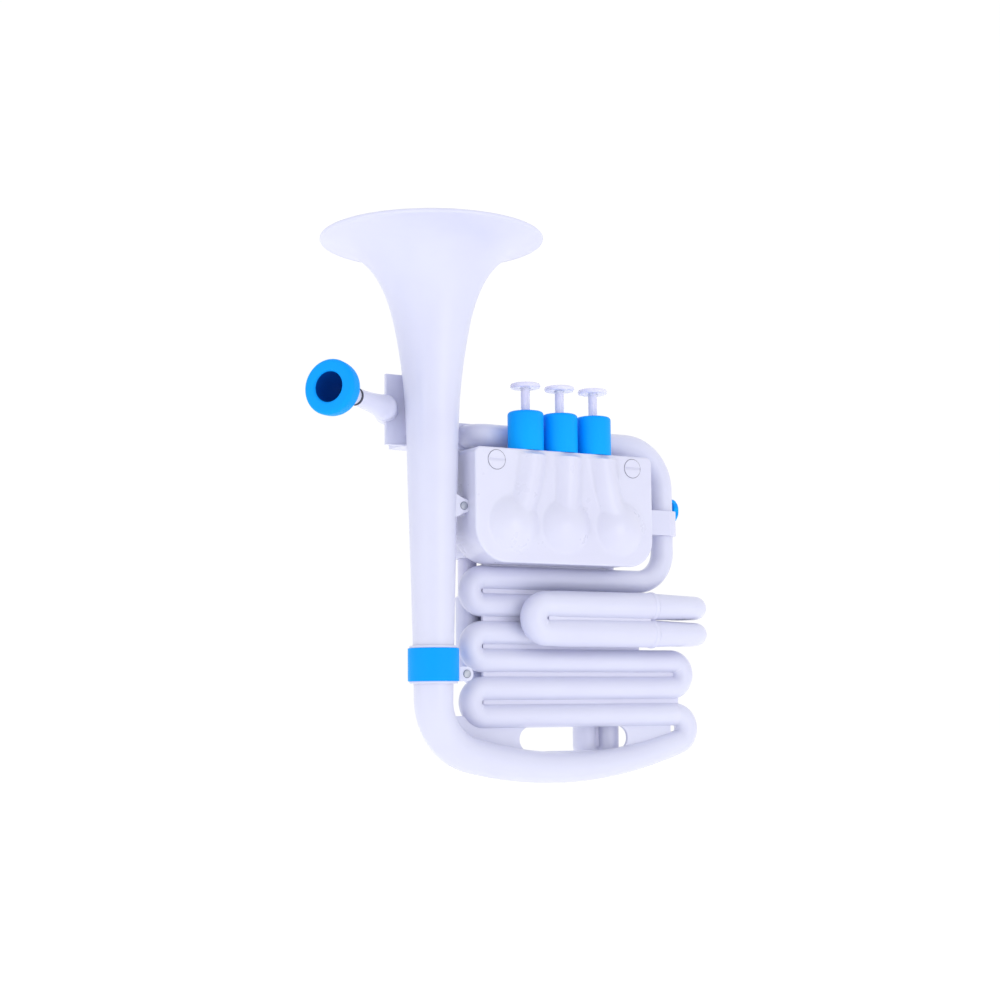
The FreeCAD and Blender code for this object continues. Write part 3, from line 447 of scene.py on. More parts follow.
white = moulded("white_plastic", (0.635, 0.650, 0.800), (0.610, 0.620, 0.780), (0.70, 0.70, 0.86),
                0.34, 0.05, subsurface=0.08, coat=0.12)
# Darker, more purple copy of the white plastic: painted shade for the inner CAD parts, which are the same
# white plastic
shaded_inner_white = moulded("shaded_inner_white_plastic", (0.58, 0.575, 0.76), (0.54, 0.53, 0.73), (0.7, 0.7, 0.85),
                      0.42, 0.08)
case_white = moulded("cover_white_plastic", (0.635, 0.645, 0.790), (0.61, 0.615, 0.770), (0.72, 0.72, 0.88),
                     0.30, 0.04, subsurface=0.08, coat=0.2, pale_edge_from=0.60)
azure = moulded("azure_plastic", (0.0, 0.325, 0.95), (0.0, 0.30, 0.92), (0.0, 0.40, 0.98),
                0.5, 0.10, fine=1400.0, shine=0.12)
milky = moulded("milky_plastic", (0.66, 0.66, 0.82), (0.62, 0.62, 0.80), (0.75, 0.75, 0.88),
                0.22, 0.03, subsurface=0.35, coat=0.3)
leg_white = moulded("slide_leg_plastic", (0.59, 0.585, 0.77), (0.56, 0.55, 0.75), (0.7, 0.7, 0.85),
                    0.24, 0.03, coat=0.3, speck=0.2)
acetal = moulded("acetal", (0.66, 0.67, 0.76), (0.60, 0.61, 0.71), (0.75, 0.75, 0.82),
                 0.36, 0.08)
rubber = moulded("seal_rubber", (0.035, 0.038, 0.06), (0.02, 0.022, 0.04), (0.10, 0.10, 0.13),
                 0.68, 0.25, fine=2200.0)
# Dark navy copy of the azure plastic: painted shade for the inside of the cup's bowl, which is the same azure
# plastic
azure_painted_shade = moulded("azure_painted_shade", (0.0, 0.050, 0.30), (0.0, 0.030, 0.22), (0.0, 0.14, 0.50),
                     0.55, 0.10, fine=1400.0, shine=0.08)
gap_dark = moulded("shadow_gap", (0.10, 0.10, 0.16), (0.06, 0.06, 0.11), (0.2, 0.2, 0.27),
                   0.8, 0.2)
pin_metal = moulded("pin_steel", (0.26, 0.29, 0.36), (0.20, 0.22, 0.29), (0.5, 0.52, 0.58),
                    0.38, 0.2, metal=0.85, fine=1800.0, rough_spread=0.2)
wire_metal = moulded("spring_steel", (0.46, 0.47, 0.50), (0.36, 0.37, 0.41), (0.7, 0.7, 0.74),
                     0.28, 0.2, metal=1.0)


# ---- bell
def smooth_through(points, samples):
    """Natural cubic curve through the points, by chord length."""
    points = np.array(points, float)
    t = np.concatenate([[0], np.cumsum(np.linalg.norm(np.diff(points, axis=0), axis=1))])
    n = len(t)
    h = np.diff(t)
    system = np.eye(n)
    right = np.zeros((n, 2))
    for i in range(1, n - 1):
        system[i, i - 1:i + 2] = [h[i - 1], 2 * (h[i - 1] + h[i]), h[i]]
        right[i] = 6 * ((points[i + 1] - points[i]) / h[i] - (points[i] - points[i - 1]) / h[i - 1])
    second = np.linalg.solve(system, right)
    places = np.linspace(0, t[-1], samples)
    out = []
    for s in places:
        i = min(np.searchsorted(t, s, side="right") - 1, n - 2)
        a, b = t[i + 1] - s, s - t[i]
        out.append((second[i] * a ** 3 + second[i + 1] * b ** 3) / (6 * h[i])
                   + (points[i] / h[i] - second[i] * h[i] / 6) * a
                   + (points[i + 1] / h[i] - second[i + 1] * h[i] / 6) * b)
    return np.array(out)


def make_bell():
    """Flared horn with a rolled lip."""
    lip_steps = 20
    outer = smooth_through([(z * MM, r * MM) for z, r in bell_outline], 150)
    tangent = np.gradient(outer, axis=0)
    tangent /= np.linalg.norm(tangent, axis=1)[:, None]
    inner = outer + np.stack([tangent[:, 1], -tangent[:, 0]], axis=1) * wall
    centre = (outer[-1] + inner[-1]) / 2
    start = atan2(outer[-1][1] - centre[1], outer[-1][0] - centre[0])
    lip = []
    for k in range(lip_steps + 1):
        angle = start - pi * k / lip_steps
        lip.append((centre[0] + bead_r * cos(angle), centre[1] + bead_r * sin(angle)))
    profile = [tuple(p) for p in outer[:-1]] + lip + [tuple(p) for p in inner[::-1][1:]]
    bell = lathe("bell_form", profile, (bell_x, bell_y, bell_foot_z), (0, 0, 1),
                 "body", white, 192)
    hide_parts("bell")


# ---- bow
def bow_route():
    """Centre line of the bow from the bell's foot to the last row, with the distances."""
    foot_steps, bend_steps, long_steps, end_steps = 6, 24, 40, 40
    end_centre_z = row_z[-1] - bow_end_bend_r
    end_x = bow_end_x + bow_end_bend_r * sin(bow_rise)
    end_z = end_centre_z - bow_end_bend_r * cos(bow_rise)
    turn = pi / 2 - bow_fall
    first_x = bell_x + bow_bend_r * (1 - cos(turn))
    first_z = bow_bend_top - bow_bend_r * sin(turn)
    long_r = (((end_x - first_x) * sin(bow_rise) - (end_z - first_z) * cos(bow_rise))
              / (1 - cos(bow_rise + bow_fall)))
    flat = [(bell_x, bell_foot_z + (bow_bend_top - bell_foot_z) * i / foot_steps) for i in range(foot_steps)]
    for i in range(bend_steps):
        a = turn * i / bend_steps
        flat.append((bell_x + bow_bend_r * (1 - cos(a)), bow_bend_top - bow_bend_r * sin(a)))
    for i in range(long_steps):
        h = -bow_fall + (bow_fall + bow_rise) * i / (long_steps - 1)
        flat.append((first_x + long_r * (sin(h) + sin(bow_fall)),
                     first_z + long_r * (cos(bow_fall) - cos(h))))
    flat.append((end_x, end_z))
    lengths = [0.0]
    for a, b in zip(flat, flat[1:]):
        lengths.append(lengths[-1] + sqrt((b[0] - a[0]) ** 2 + (b[1] - a[1]) ** 2))
    taper_length = lengths[-1]
    points = []
    for (x, z), s in zip(flat, lengths):
        t = s / taper_length
        points.append(Vector((x, bell_y * (1 - t * t * (3 - 2 * t)), z)))
    sweep = pi - bow_rise
    for k in range(1, end_steps + 1):
        a = -pi / 2 + bow_rise + sweep * k / end_steps
        points.append(Vector((bow_end_x + bow_end_bend_r * cos(a), 0,
                              end_centre_z + bow_end_bend_r * sin(a))))
    return points, distances(points), taper_length


def make_bow():
    """Tapered tube that runs from the bell's foot round under the hand slot."""
    points, travelled, taper_length = bow_route()
    taper = stepped([(0, bow_start_r), (taper_length, bow_end_r), (travelled[-1], tube_r)])
    bow = pipe("bottom_bow_form", points, travelled, taper, lambda s: taper(s) - wall,
               "body", white)
    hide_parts("bottom_bow")


# ---- tube stack
def half_pipe(points, travelled, radius, bore, front, name, body_material):
    """Front or rear half of a tube whose route lies in the plane y = 0."""
    sign = -1 if front else 1
    half = around // 2
    section = []
    for k in range(half + 1):
        angle = pi * k / half
        section.append((radius * cos(angle), sign * max(radius * sin(angle), half_gap)))
    for k in range(half + 1):
        angle = pi - pi * k / half
        section.append((bore * cos(angle), sign * max(bore * sin(angle), half_gap)))
    columns = len(section)
    verts = []
    for p, tangent in zip(points, headings(points)):
        side = tangent.cross(Vector((0, 1, 0))).normalized()
        for u, v in section:
            verts.append(p + side * u + Vector((0, v, 0)))
    rows = len(points)
    faces = grid_faces(rows, columns)
    faces.append(tuple(range(columns)))
    faces.append(tuple(reversed(range((rows - 1) * columns, rows * columns))))
    return finish_mesh(name, verts, faces, "body", body_material)


def stack_routes():
    """Centre lines of the two runs of tube: the riser with rows 1 and 2, and rows 3 to 6."""
    row_end = return_bend_x - leg_overlap
    upper = route([(riser_x, 0, riser_joint_z), (riser_x, 0, row_z[0]), (stack_left, 0, row_z[0]),
                   (stack_left, 0, row_z[1]), (row_end, 0, row_z[1])],
                  [riser_bend_r, row_bend_r, row_bend_r])
    lower = route([(row_end, 0, row_z[2]), (stack_left, 0, row_z[2]), (stack_left, 0, row_z[3]),
                   (stack_right, 0, row_z[3]), (stack_right, 0, row_z[4]), (stack_left, 0, row_z[4]),
                   (stack_left, 0, row_z[5]), (bow_end_x, 0, row_z[5])], [row_bend_r] * 6)
    return upper, lower


def web_outline():
    """Outer edge of the bottom web: row 6 above, the bow's centre line below."""
    below_row = row_z[5] - 2 * MM
    left = stack_left - 22 * MM
    before_end_bend = 48
    points, _, _ = bow_route()
    under = [(p.x, p.z) for p in points if p.z < below_row and left < p.x < bow_end_x]
    under = under[:before_end_bend]
    return [(under[0][0], row_z[5])] + under + [(under[-1][0], row_z[5])]


def web_with_slot(name, front, material):
    """Half of the bottom web's thickness, with a rounded edge round the hand slot."""
    drawing = bpy.data.curves.new(name, "CURVE")
    drawing.dimensions = "2D"
    drawing.fill_mode = "BOTH"
    edge = 0.5 * MM
    drawing.extrude = web_t / 4 - edge
    drawing.bevel_depth = edge
    drawing.bevel_resolution = 3
    slot_end = slot_height / 2 + edge
    to_end = slot_length / 2 - slot_height / 2
    steps = 48
    slot = []
    for k in range(steps):
        a = 2 * pi * k / steps
        slot.append((copysign(to_end, cos(a)) + slot_end * cos(a), slot_end * sin(a)))
    for outline in (web_outline(), slot):
        spline = drawing.splines.new("POLY")
        spline.points.add(len(outline) - 1)
        spline.use_cyclic_u = True
        for point, (x, z) in zip(spline.points, outline):
            point.co = (x, z, 0, 1)
    holder = bpy.data.objects.new(name + "_drawing", drawing)
    mesh = bpy.data.meshes.new_from_object(holder)
    depth = (-1 if front else 1) * web_t / 4
    verts = [Vector((v.co.x, depth - v.co.z, v.co.y)) for v in mesh.vertices]
    faces = [tuple(polygon.vertices) for polygon in mesh.polygons]
    bpy.data.objects.remove(holder)
    bpy.data.curves.remove(drawing)
    bpy.data.meshes.remove(mesh)
    return finish_mesh(name, verts, faces, "body", material)


def flat_web(name, x0, x1, z0, z1, front, material):
    """Half of the thickness of a straight web between the rows."""
    sign = -1 if front else 1
    verts = []
    for y in (half_gap, web_t / 2):
        verts += [Vector((x, sign * y, z)) for x, z in ((x0, z0), (x1, z0), (x1, z1), (x0, z1))]
    faces = [(0, 1, 2, 3), (7, 6, 5, 4)]
    faces += [(k, k + 4, (k + 1) % 4 + 4, (k + 1) % 4) for k in range(4)]
    return finish_mesh(name, verts, faces, "body", material)


def make_body_shells():
    """Front and rear halves of the tube stack, with the webs between the rows and under the valve box."""
    left = stack_left + row_bend_r
    upper_end = riser_x - riser_bend_r
    lower_end = stack_right - row_bend_r + web_reach
    box_end = case_high.x - corner_lower_right
    box_floor = case_low.z - 0.05 * MM
    for front, label in ((True, "front"), (False, "rear")):
        pieces = []
        for number, (points, travelled) in enumerate(stack_routes()):
            name = "run_%s_%d" % (label, number)
            pieces.append(half_pipe(points, travelled, tube_r, bore_r, front, name, white))
        pieces.append(flat_web("web_a_" + label, left, upper_end, row_z[3], row_z[0], front, white))
        pieces.append(flat_web("web_b_" + label, left, lower_end, row_z[5], row_z[3], front, white))
        pieces.append(flat_web("web_d_" + label, left, box_end, row_z[0], box_floor, front, white))
        pieces.append(web_with_slot("web_c_" + label, front, white))
        shell = join_in(*pieces)
        shell.name = "body_%s_shell_form" % label
        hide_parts("body_%s_shell" % label)


def make_top_tube():
    """Riser's upper part, the long tube behind the valves and the elbow into the holder plate."""
    corners = [(riser_x, 0, riser_joint_z), (riser_x, 0, top_tube_z), (top_elbow_x, 0, top_tube_z),
               (top_elbow_x, plate_front, top_tube_z)]
    points, travelled = route(corners, [top_bend_r, top_elbow_r - 0.001 * MM])
    tube = pipe("top_tube_form", points, travelled, tube_r, bore_r, "body", white)
    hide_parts("top_tube")


# ---- slides and return bends
def box_piece(name, low, high, body, material):
    """Flat web between a slide's legs."""
    corners = [(x, y, z) for x in (low[0], high[0]) for y in (low[1], high[1]) for z in (low[2], high[2])]
    faces = [(0, 1, 3, 2), (4, 6, 7, 5), (0, 4, 5, 1), (2, 3, 7, 6), (0, 2, 6, 4), (1, 5, 7, 3)]
    return finish_mesh(name, [Vector(c) for c in corners], faces, body, material)


def make_tuning_slide():
    """Two sleeves and their bend, with a bead at each mouth and a groove between the legs."""
    end_x = tuning_bend_x - row_bend_r
    corners = [(tuning_mouth_x, tuning_y, row_z[1]), (end_x, tuning_y, row_z[1]),
               (end_x, tuning_y, row_z[2]), (tuning_mouth_x, tuning_y, row_z[2])]
    points, _ = route(corners, [row_bend_r, row_bend_r])
    bead_places = [0.4 * MM, 1.0 * MM, 2.2 * MM, 3.0 * MM, 3.4 * MM, 3.8 * MM, 4.4 * MM]
    extra = [points[0] + Vector((-d, 0, 0)) for d in bead_places]
    tail = [points[-1] + Vector((-d, 0, 0)) for d in reversed(bead_places)]
    points = [points[0]] + extra + points[1:-1] + tail + [points[-1]]
    travelled = distances(points)
    total = travelled[-1]
    straight = tuning_mouth_x - tuning_bend_x
    small = row_bend_r - 0.15 * MM
    past_middle = total
    outer_marks = [(0, sleeve_bead_r - 0.5 * MM), (0.4 * MM, sleeve_bead_r - 0.1 * MM),
                   (1.0 * MM, sleeve_bead_r), (2.2 * MM, sleeve_bead_r),
                   (3.0 * MM, sleeve_bead_r - 0.15 * MM), (3.8 * MM, sleeve_r + 0.05 * MM),
                   (4.4 * MM, sleeve_r), (straight - 14 * MM, sleeve_r), (straight - 2 * MM, small),
                   (past_middle, small)]
    inner_marks = [(0, sleeve_bore_r), (straight - 1 * MM, sleeve_bore_r), (straight, slide_bore_r),
                   (past_middle, slide_bore_r)]
    slide = pipe("tuning_slide_tubes", points, travelled, same_from_both_ends(outer_marks, total),
                 same_from_both_ends(inner_marks, total), "tuning_slide", white)
    half_t = 5.2 * MM
    into_tube = 8 * MM
    web = box_piece("tuning_slide_web", (tuning_bend_x, tuning_y - half_t, row_z[2] + into_tube),
                    (tuning_mouth_x - 5 * MM, tuning_y + half_t, row_z[1] - into_tube), "tuning_slide", white)
    slide = join_in(slide, web)
    slide.name = "tuning_slide_form"
    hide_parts("tuning_slide")


def make_return_bends():
    """Two bends that bring the rows forward to the tuning slide, each with a thicker mouth."""
    swing = -tuning_y / 2
    mouth = tuning_mouth_x + 0.4 * MM
    lip = 1.2 * MM
    rounding = 0.4 * MM
    for label, z in (("upper", row_z[1]), ("lower", row_z[2])):
        corners = [(return_bend_x - leg_overlap, 0, z), (return_bend_x + swing, 0, z),
                   (return_bend_x + swing, tuning_y, z), (mouth, tuning_y, z)]
        points, travelled = route(corners, [swing, swing])
        total = travelled[-1]
        marks = [(0, tube_r), (2 * MM, return_r), (total - (return_bend_x - mouth), return_r),
                 (total - lip, return_mouth_r), (total - rounding, return_mouth_r),
                 (total, return_mouth_r - rounding)]
        end = points[-1]
        points = points[:-1] + [end + Vector((lip, 0, 0)), end + Vector((rounding, 0, 0)), end]
        travelled = travelled[:-1] + [total - lip, total - rounding, total]
        bend = pipe(label + "_return_bend_form", points, travelled, stepped(marks), slide_bore_r,
                    "body", white)
        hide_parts(label + "_return_bend")


def make_valve_slides():
    """Three U slides at the back, with a rounded mouth on each sleeve."""
    y = valve_slide_y
    bend_r = valve_slide_pitch / 2
    lip = 1.0 * MM
    lip_r = valve_sleeve_r + 0.35 * MM
    web_half_t = 1.5 * MM
    for i in range(3):
        left = valve_slide_x[i]
        right = left + valve_slide_pitch
        floor = valve_slide_bend_z[i] - bend_r
        mouth = valve_slide_mouth_z[i]
        points, _ = route([(left, y, mouth), (left, y, floor), (right, y, floor), (right, y, mouth)],
                          [bend_r, bend_r])
        down = Vector((0, 0, -lip))
        points = ([points[0], points[0] + down, points[0] + down * 2] + points[1:-1]
                  + [points[-1] + down * 2, points[-1] + down, points[-1]])
        travelled = distances(points)
        total = travelled[-1]
        straight = mouth - valve_slide_bend_z[i]
        outer_marks = [(0, valve_sleeve_r - 0.5 * MM), (lip, lip_r), (2 * lip, lip_r),
                       (3 * lip, valve_sleeve_r)]
        inner_marks = [(0, valve_sleeve_bore_r), (straight - lip, valve_sleeve_bore_r),
                       (straight, valve_slide_bore_r)]
        name = "valve_slide_%d" % (i + 1)
        slide = pipe(name + "_tubes", points, travelled, same_from_both_ends(outer_marks, total),
                     same_from_both_ends(inner_marks, total), name, white)
        web = box_piece(name + "_web", (left, y - web_half_t, valve_slide_bend_z[i] - 2 * MM),
                        (right, y + web_half_t, mouth - 6 * MM), name, white)
        slide = join_in(slide, web)
        slide.name = name + "_form"
        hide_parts(name)


# ---- valve cover
def rounded_outline(x0, x1, z0, z1, radii, per_corner=16, per_side=40):
    """Rounded rectangle. Its radii are for the lower left, lower right, upper right and upper left."""
    centres = [(x0 + radii[0], z0 + radii[0], pi), (x1 - radii[1], z0 + radii[1], 1.5 * pi),
               (x1 - radii[2], z1 - radii[2], 0.0), (x0 + radii[3], z1 - radii[3], 0.5 * pi)]
    points = []
    for i, ((cx, cz, first), r) in enumerate(zip(centres, radii)):
        for k in range(per_corner + 1):
            a = first + pi / 2 * k / per_corner
            points.append((cx + r * cos(a), cz + r * sin(a)))
        next_x, next_z, next_first = centres[(i + 1) % 4]
        next_r = radii[(i + 1) % 4]
        start = points[-1]
        end = (next_x + next_r * cos(next_first), next_z + next_r * sin(next_first))
        for k in range(1, per_side):
            points.append((start[0] + (end[0] - start[0]) * k / per_side,
                           start[1] + (end[1] - start[1]) * k / per_side))
    return points


def distance_to_run(x, z, a, b):
    """Distance of each place from the straight run between a and b."""
    dx, dz = b[0] - a[0], b[1] - a[1]
    t = np.clip(((x - a[0]) * dx + (z - a[1]) * dz) / (dx * dx + dz * dz), 0, 1)
    return np.hypot(x - a[0] - t * dx, z - a[1] - t * dz)


def neck_line(bx, rx):
    """From above the barrel's foot down and round into the dome."""
    top, knee, end = np.array((bx, neck_top_z)), np.array((bx, rotor_z + 30 * MM)), np.array((rx, rotor_z))
    return [top * (1 - t) ** 2 + knee * 2 * t * (1 - t) + end * t ** 2 for t in np.linspace(0, 1, 17)]


def cover_height(x, z):
    """How far the cover's raised forms stand out: three domes, each with a neck up to its barrel."""
    blend = 1.6 / MM
    total = np.ones_like(x)
    for bx, rx in zip(valve_x, rotor_x):
        line = neck_line(bx, rx)
        from_line = np.min([distance_to_run(x, z, a, b) for a, b in zip(line, line[1:])], axis=0)
        dome = dome_height * (1 - (np.hypot(x - rx, z - rotor_z) / dome_r) ** 2)
        neck = neck_height * (1 - (from_line / neck_half_width) ** 2)
        total = total + np.exp(blend * dome) + np.exp(blend * neck)
    return np.log(total) / blend


def cover_rings(rim, centre, surface):
    """Rings from the cover's rim to its centre, raised where the domes and necks stand out."""
    rings = 84
    flat_rings = 5      # the forms rise to their full height over this many rings
    loops = []
    for k in range(1, rings):
        points = centre + (rim - centre) * (1 - k / rings)
        near_rim = min(1.0, k / flat_rings)
        near_top = np.clip((cover_high.z - points[:, 1]) / (1.0 * MM), 0, 1)
        raised = cover_height(points[:, 0], points[:, 1]) * near_rim * near_top
        loops.append([(x, surface - h, z) for (x, z), h in zip(points, raised)])
    return loops


def make_cover():
    """Thin shell: rounded rim, three domes and three necks."""
    low, high = cover_low, cover_high
    radii = [corner_lower_left, corner_lower_right, corner_top, corner_top]
    edge = 1.4 * MM
    edge_steps = 4
    back = cover_front + cover_t
    outer = [[(x, back, z) for x, z in rounded_outline(low.x, high.x, low.z, high.z, radii)]]
    for k in range(edge_steps + 1):
        a = pi / 2 * k / edge_steps
        inset = edge * (1 - cos(a))
        y = cover_front + edge - edge * sin(a)
        shape = rounded_outline(low.x + inset, high.x - inset, low.z + inset, high.z - inset,
                                [r - inset for r in radii])
        outer.append([(x, y, z) for x, z in shape])
    rim = np.array([(p[0], p[2]) for p in outer[-1]])
    centre = np.array([(low.x + high.x) / 2, (low.z + high.z) / 2 - 4 * MM])
    middle_height = float(cover_height(np.array([centre[0]]), np.array([centre[1]]))[0])
    loops = cover_rings(rim, centre, back)[::-1] + outer + cover_rings(rim, centre, cover_front)
    columns = len(rim)
    verts = [Vector(p) for loop in loops for p in loop]
    faces = grid_faces(len(loops), columns)
    for first, surface in ((0, back), ((len(loops) - 1) * columns, cover_front)):
        tip = len(verts)
        verts.append(Vector((centre[0], surface - middle_height, centre[1])))
        faces += [(first + k, first + (k + 1) % columns, tip) for k in range(columns)]
    cover = finish_mesh("valve_cover_form", verts, faces, "body", case_white, radians(60))
    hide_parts("valve_cover")


def make_screw_rings():
    """Shadow gap round the head of each cover screw."""
    for label in ("left", "right"):
        low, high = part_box("cover_screw_" + label)
        centre = Vector(((low.x + high.x) / 2, cover_front, (low.z + high.z) / 2))
        inner = (high.x - low.x) / 2 + 0.02 * MM
        outer = inner + 0.4 * MM
        proud, sunk = -0.07 * MM, 0.2 * MM
        profile = [(sunk, inner), (proud, inner), (proud, outer), (sunk, outer)]
        lathe("cover_screw_gap_" + label, profile, centre, (0, 1, 0), "body", gap_dark, 96)


# ---- valves
def quarter_turn(steps, first=0):
    """Sine, and one less the cosine, of angles from nothing to a right angle."""
    angles = [pi / 2 * k / steps for k in range(first, steps + 1)]
    return [(sin(a), 1 - cos(a)) for a in angles]


def make_valve_tops():
    """Barrel, stem, button and spring of each valve."""
    round_r = 2.6 * MM
    for i, x in enumerate(valve_x):
        number = str(i + 1)
        low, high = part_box("valve_barrel_" + number)
        height = high.z - low.z
        profile = [(0, barrel_r), (height - round_r, barrel_r)]
        profile += [(height - round_r + round_r * up, barrel_r - round_r * inward)
                    for up, inward in quarter_turn(8, 1)]
        profile += [(height, stem_r + 1.6 * MM), (height - 0.5 * MM, stem_r + 0.5 * MM),
                    (height - wall, stem_r + 0.06 * MM), (height - wall, barrel_r - wall),
                    (0, barrel_r - wall)]
        barrel = lathe("valve_barrel_form_" + number, profile, (x, valve_y, low.z), (0, 0, 1),
                       "body", azure)
        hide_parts("valve_barrel_" + number)
        make_stem(number, x)
        make_button(number, x)
        make_spring(number, x)


def make_stem(number, x):
    """Fluted stem with the spring's collar."""
    low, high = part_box("valve_stem_" + number)
    collar_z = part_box("valve_barrel_" + number)[1].z - 4.8 * MM - low.z
    collar_r = stem_r + 5 * MM
    core = 0.2 * MM
    length = high.z - low.z

    def flutes(angle, along):
        if along < collar_z + 2.2 * MM or along > length - 1.5 * MM:
            return 1.0
        return 1.0 - 0.16 * max(0.0, cos(4 * angle)) ** 2

    profile = [(0, core), (0, stem_r), (collar_z - 0.01 * MM, stem_r), (collar_z, collar_r),
               (collar_z + 2 * MM, collar_r), (collar_z + 2.01 * MM, stem_r), (collar_z + 3 * MM, stem_r),
               (length - 3 * MM, stem_r), (length - 1.2 * MM, stem_r), (length, stem_r + 0.8 * MM),
               (length, core)]
    stem = lathe("valve_stem_form_" + number, profile, (x, valve_y, low.z), (0, 0, 1),
                 "plunger_" + number, milky, 96, flutes)
    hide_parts("valve_stem_" + number)


def make_button(number, x):
    """Round touch disc, slightly dished, with a soft rim."""
    low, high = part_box("valve_button_" + number)
    r = (high.x - low.x) / 2
    t = high.z - low.z
    rim_steps = 8
    rim_depth = 1.3 * MM
    core = 0.2 * MM
    profile = [(0.0, core), (0.0, r - 2.2 * MM)]
    for k in range(rim_steps + 1):
        a = -pi / 2 + pi * k / rim_steps
        profile.append((t * 0.5 + t * 0.5 * sin(a), r - rim_depth + rim_depth * cos(a)))
    profile += [(t - 0.25 * MM, r - 3.2 * MM), (t - 0.55 * MM, r - 6.0 * MM), (t - 0.65 * MM, core)]
    button = lathe("valve_button_form_" + number, profile, (x, valve_y, low.z), (0, 0, 1),
                   "plunger_" + number, milky)
    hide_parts("valve_button_" + number)


def make_spring(number, x):
    """Return spring round the stem, made at its rest length; the real one shortens as the button goes down.
    """
    low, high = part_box("valve_spring_" + number)
    coil_r = (high.x - low.x) / 2 - spring_wire_r
    rise = high.z - low.z - 2 * spring_wire_r
    steps = 32 * spring_turns
    points = []
    for k in range(steps + 1):
        angle = 2 * pi * spring_turns * k / steps
        height = low.z + spring_wire_r + rise * k / steps
        points.append(Vector((x + coil_r * cos(angle), valve_y + coil_r * sin(angle), height)))
    sides = 16
    verts = pipe_rings(points, lambda s: spring_wire_r, [0.0] * len(points), sides)
    faces = grid_faces(len(points), sides)
    faces += [tuple(reversed(range(sides))), tuple(range(len(verts) - sides, len(verts)))]
    spring = finish_mesh("valve_spring_form_" + number, verts, faces, "body", wire_metal,
                         radians(60))
    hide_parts("valve_spring_" + number)
    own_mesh(spring)


# ---- leadpipe and mouthpiece
def make_leadpipe():
    """Ball, tapered pipe with its open end, and the spigot that it swivels on."""
    ball, root, end = 9.9 * MM, 8.9 * MM, 6.6 * MM
    ball_steps, taper_steps = 16, 12
    socket_r, socket_length = 5.3 * MM, 19 * MM
    spigot_r, spigot_length = 5.5 * MM, 17 * MM
    core = 0.1 * MM
    meet = sqrt(ball ** 2 - root ** 2)
    profile = []
    for k in range(ball_steps + 1):
        a = pi * k / ball_steps * (1 - acos(meet / ball) / pi)
        profile.append((-ball * cos(a), max(ball * sin(a), core)))
    for k in range(1, taper_steps + 1):
        t = k / taper_steps
        profile.append((meet + (leadpipe_length - 1 * MM - meet) * t,
                        root + (end - root) * t - 0.5 * MM * sin(pi * t)))
    profile += [(leadpipe_length - 0.3 * MM, end), (leadpipe_length, end - 0.3 * MM),
                (leadpipe_length, socket_r), (leadpipe_length - socket_length, socket_r),
                (leadpipe_length - socket_length, core)]
    pipe_form = lathe("leadpipe_form", profile, swivel, lead, "leadpipe", white)
    rod = [(0, 2 * core), (0, spigot_r), (spigot_length, spigot_r), (spigot_length, 2 * core)]
    spigot = lathe("leadpipe_spigot", softened(rod, 0.4 * MM), swivel, swivel_axis,
                   "leadpipe", white)
    pipe_form = join_in(pipe_form, spigot)
    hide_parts("leadpipe")


def make_mouthpiece():
    """White shank, and the blue cup with its round rim, its bowl painted dark navy as shade."""
    seal_end = leadpipe_length + 1.2 * MM + 0.4 * MM
    back = seal_end + 13.0 * MM
    rim = back + 24.6 * MM
    shank_end = leadpipe_length - 17 * MM
    shank_r = 5.2 * MM
    shank = [(shank_end, throat_r), (shank_end, 4.9 * MM), (leadpipe_length - 16.4 * MM, shank_r),
             (seal_end, shank_r), (seal_end, 6.0 * MM), (seal_end + 0.5 * MM, 6.3 * MM),
             (back - 5 * MM, 7.0 * MM), (back - 1 * MM, 7.2 * MM), (back, 7.2 * MM), (back, throat_r)]
    shank_form = lathe("mouthpiece_shank_form", shank, swivel, lead, "mouthpiece", white)
    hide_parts("mouthpiece_shank")
    outer_round, inner_round = 3.4 * MM, 2.4 * MM
    outside = smooth_through([(back, 8.2 * MM), (back + 3 * MM, 10.2 * MM),
                              (back + 8 * MM, cup_rim_r - 4.2 * MM), (back + 12 * MM, cup_rim_r - 1.3 * MM),
                              (back + 17 * MM, cup_rim_r - 0.2 * MM), (rim - outer_round, cup_rim_r)], 40)
    inside = smooth_through([(rim - inner_round, cup_mouth_r), (rim - 8 * MM, cup_mouth_r - 0.7 * MM),
                             (rim - 13 * MM, cup_mouth_r - 2.2 * MM), (rim - 18 * MM, 2 * throat_r),
                             (rim - cup_depth, throat_r)], 24)
    profile = [(back, throat_r)] + [tuple(p) for p in outside]
    profile += [(rim - outer_round + outer_round * ahead, cup_rim_r - outer_round * inward)
                for ahead, inward in quarter_turn(10, 1)]
    profile += [(rim - inner_round * down, cup_mouth_r + inner_round * (1 - across))
                for across, down in quarter_turn(10)]
    profile += [tuple(p) for p in inside[1:]]
    cup = lathe("mouthpiece_cup_form", profile, swivel, lead, "mouthpiece", azure, 160)
    # Faces inside the bowl get the dark navy copy: painted shade where little light reaches into the cup
    cup.data.materials.append(azure_painted_shade)
    painted_shade_bowl_r = cup_mouth_r + 0.3 * MM
    for polygon in cup.data.polygons:
        offset = polygon.center - swivel
        along = offset.dot(lead)
        away = (offset - lead * along).length
        if away < painted_shade_bowl_r and back + 2 * MM < along < rim - 1.6 * MM:
            polygon.material_index = 1
    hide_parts("mouthpiece_cup")


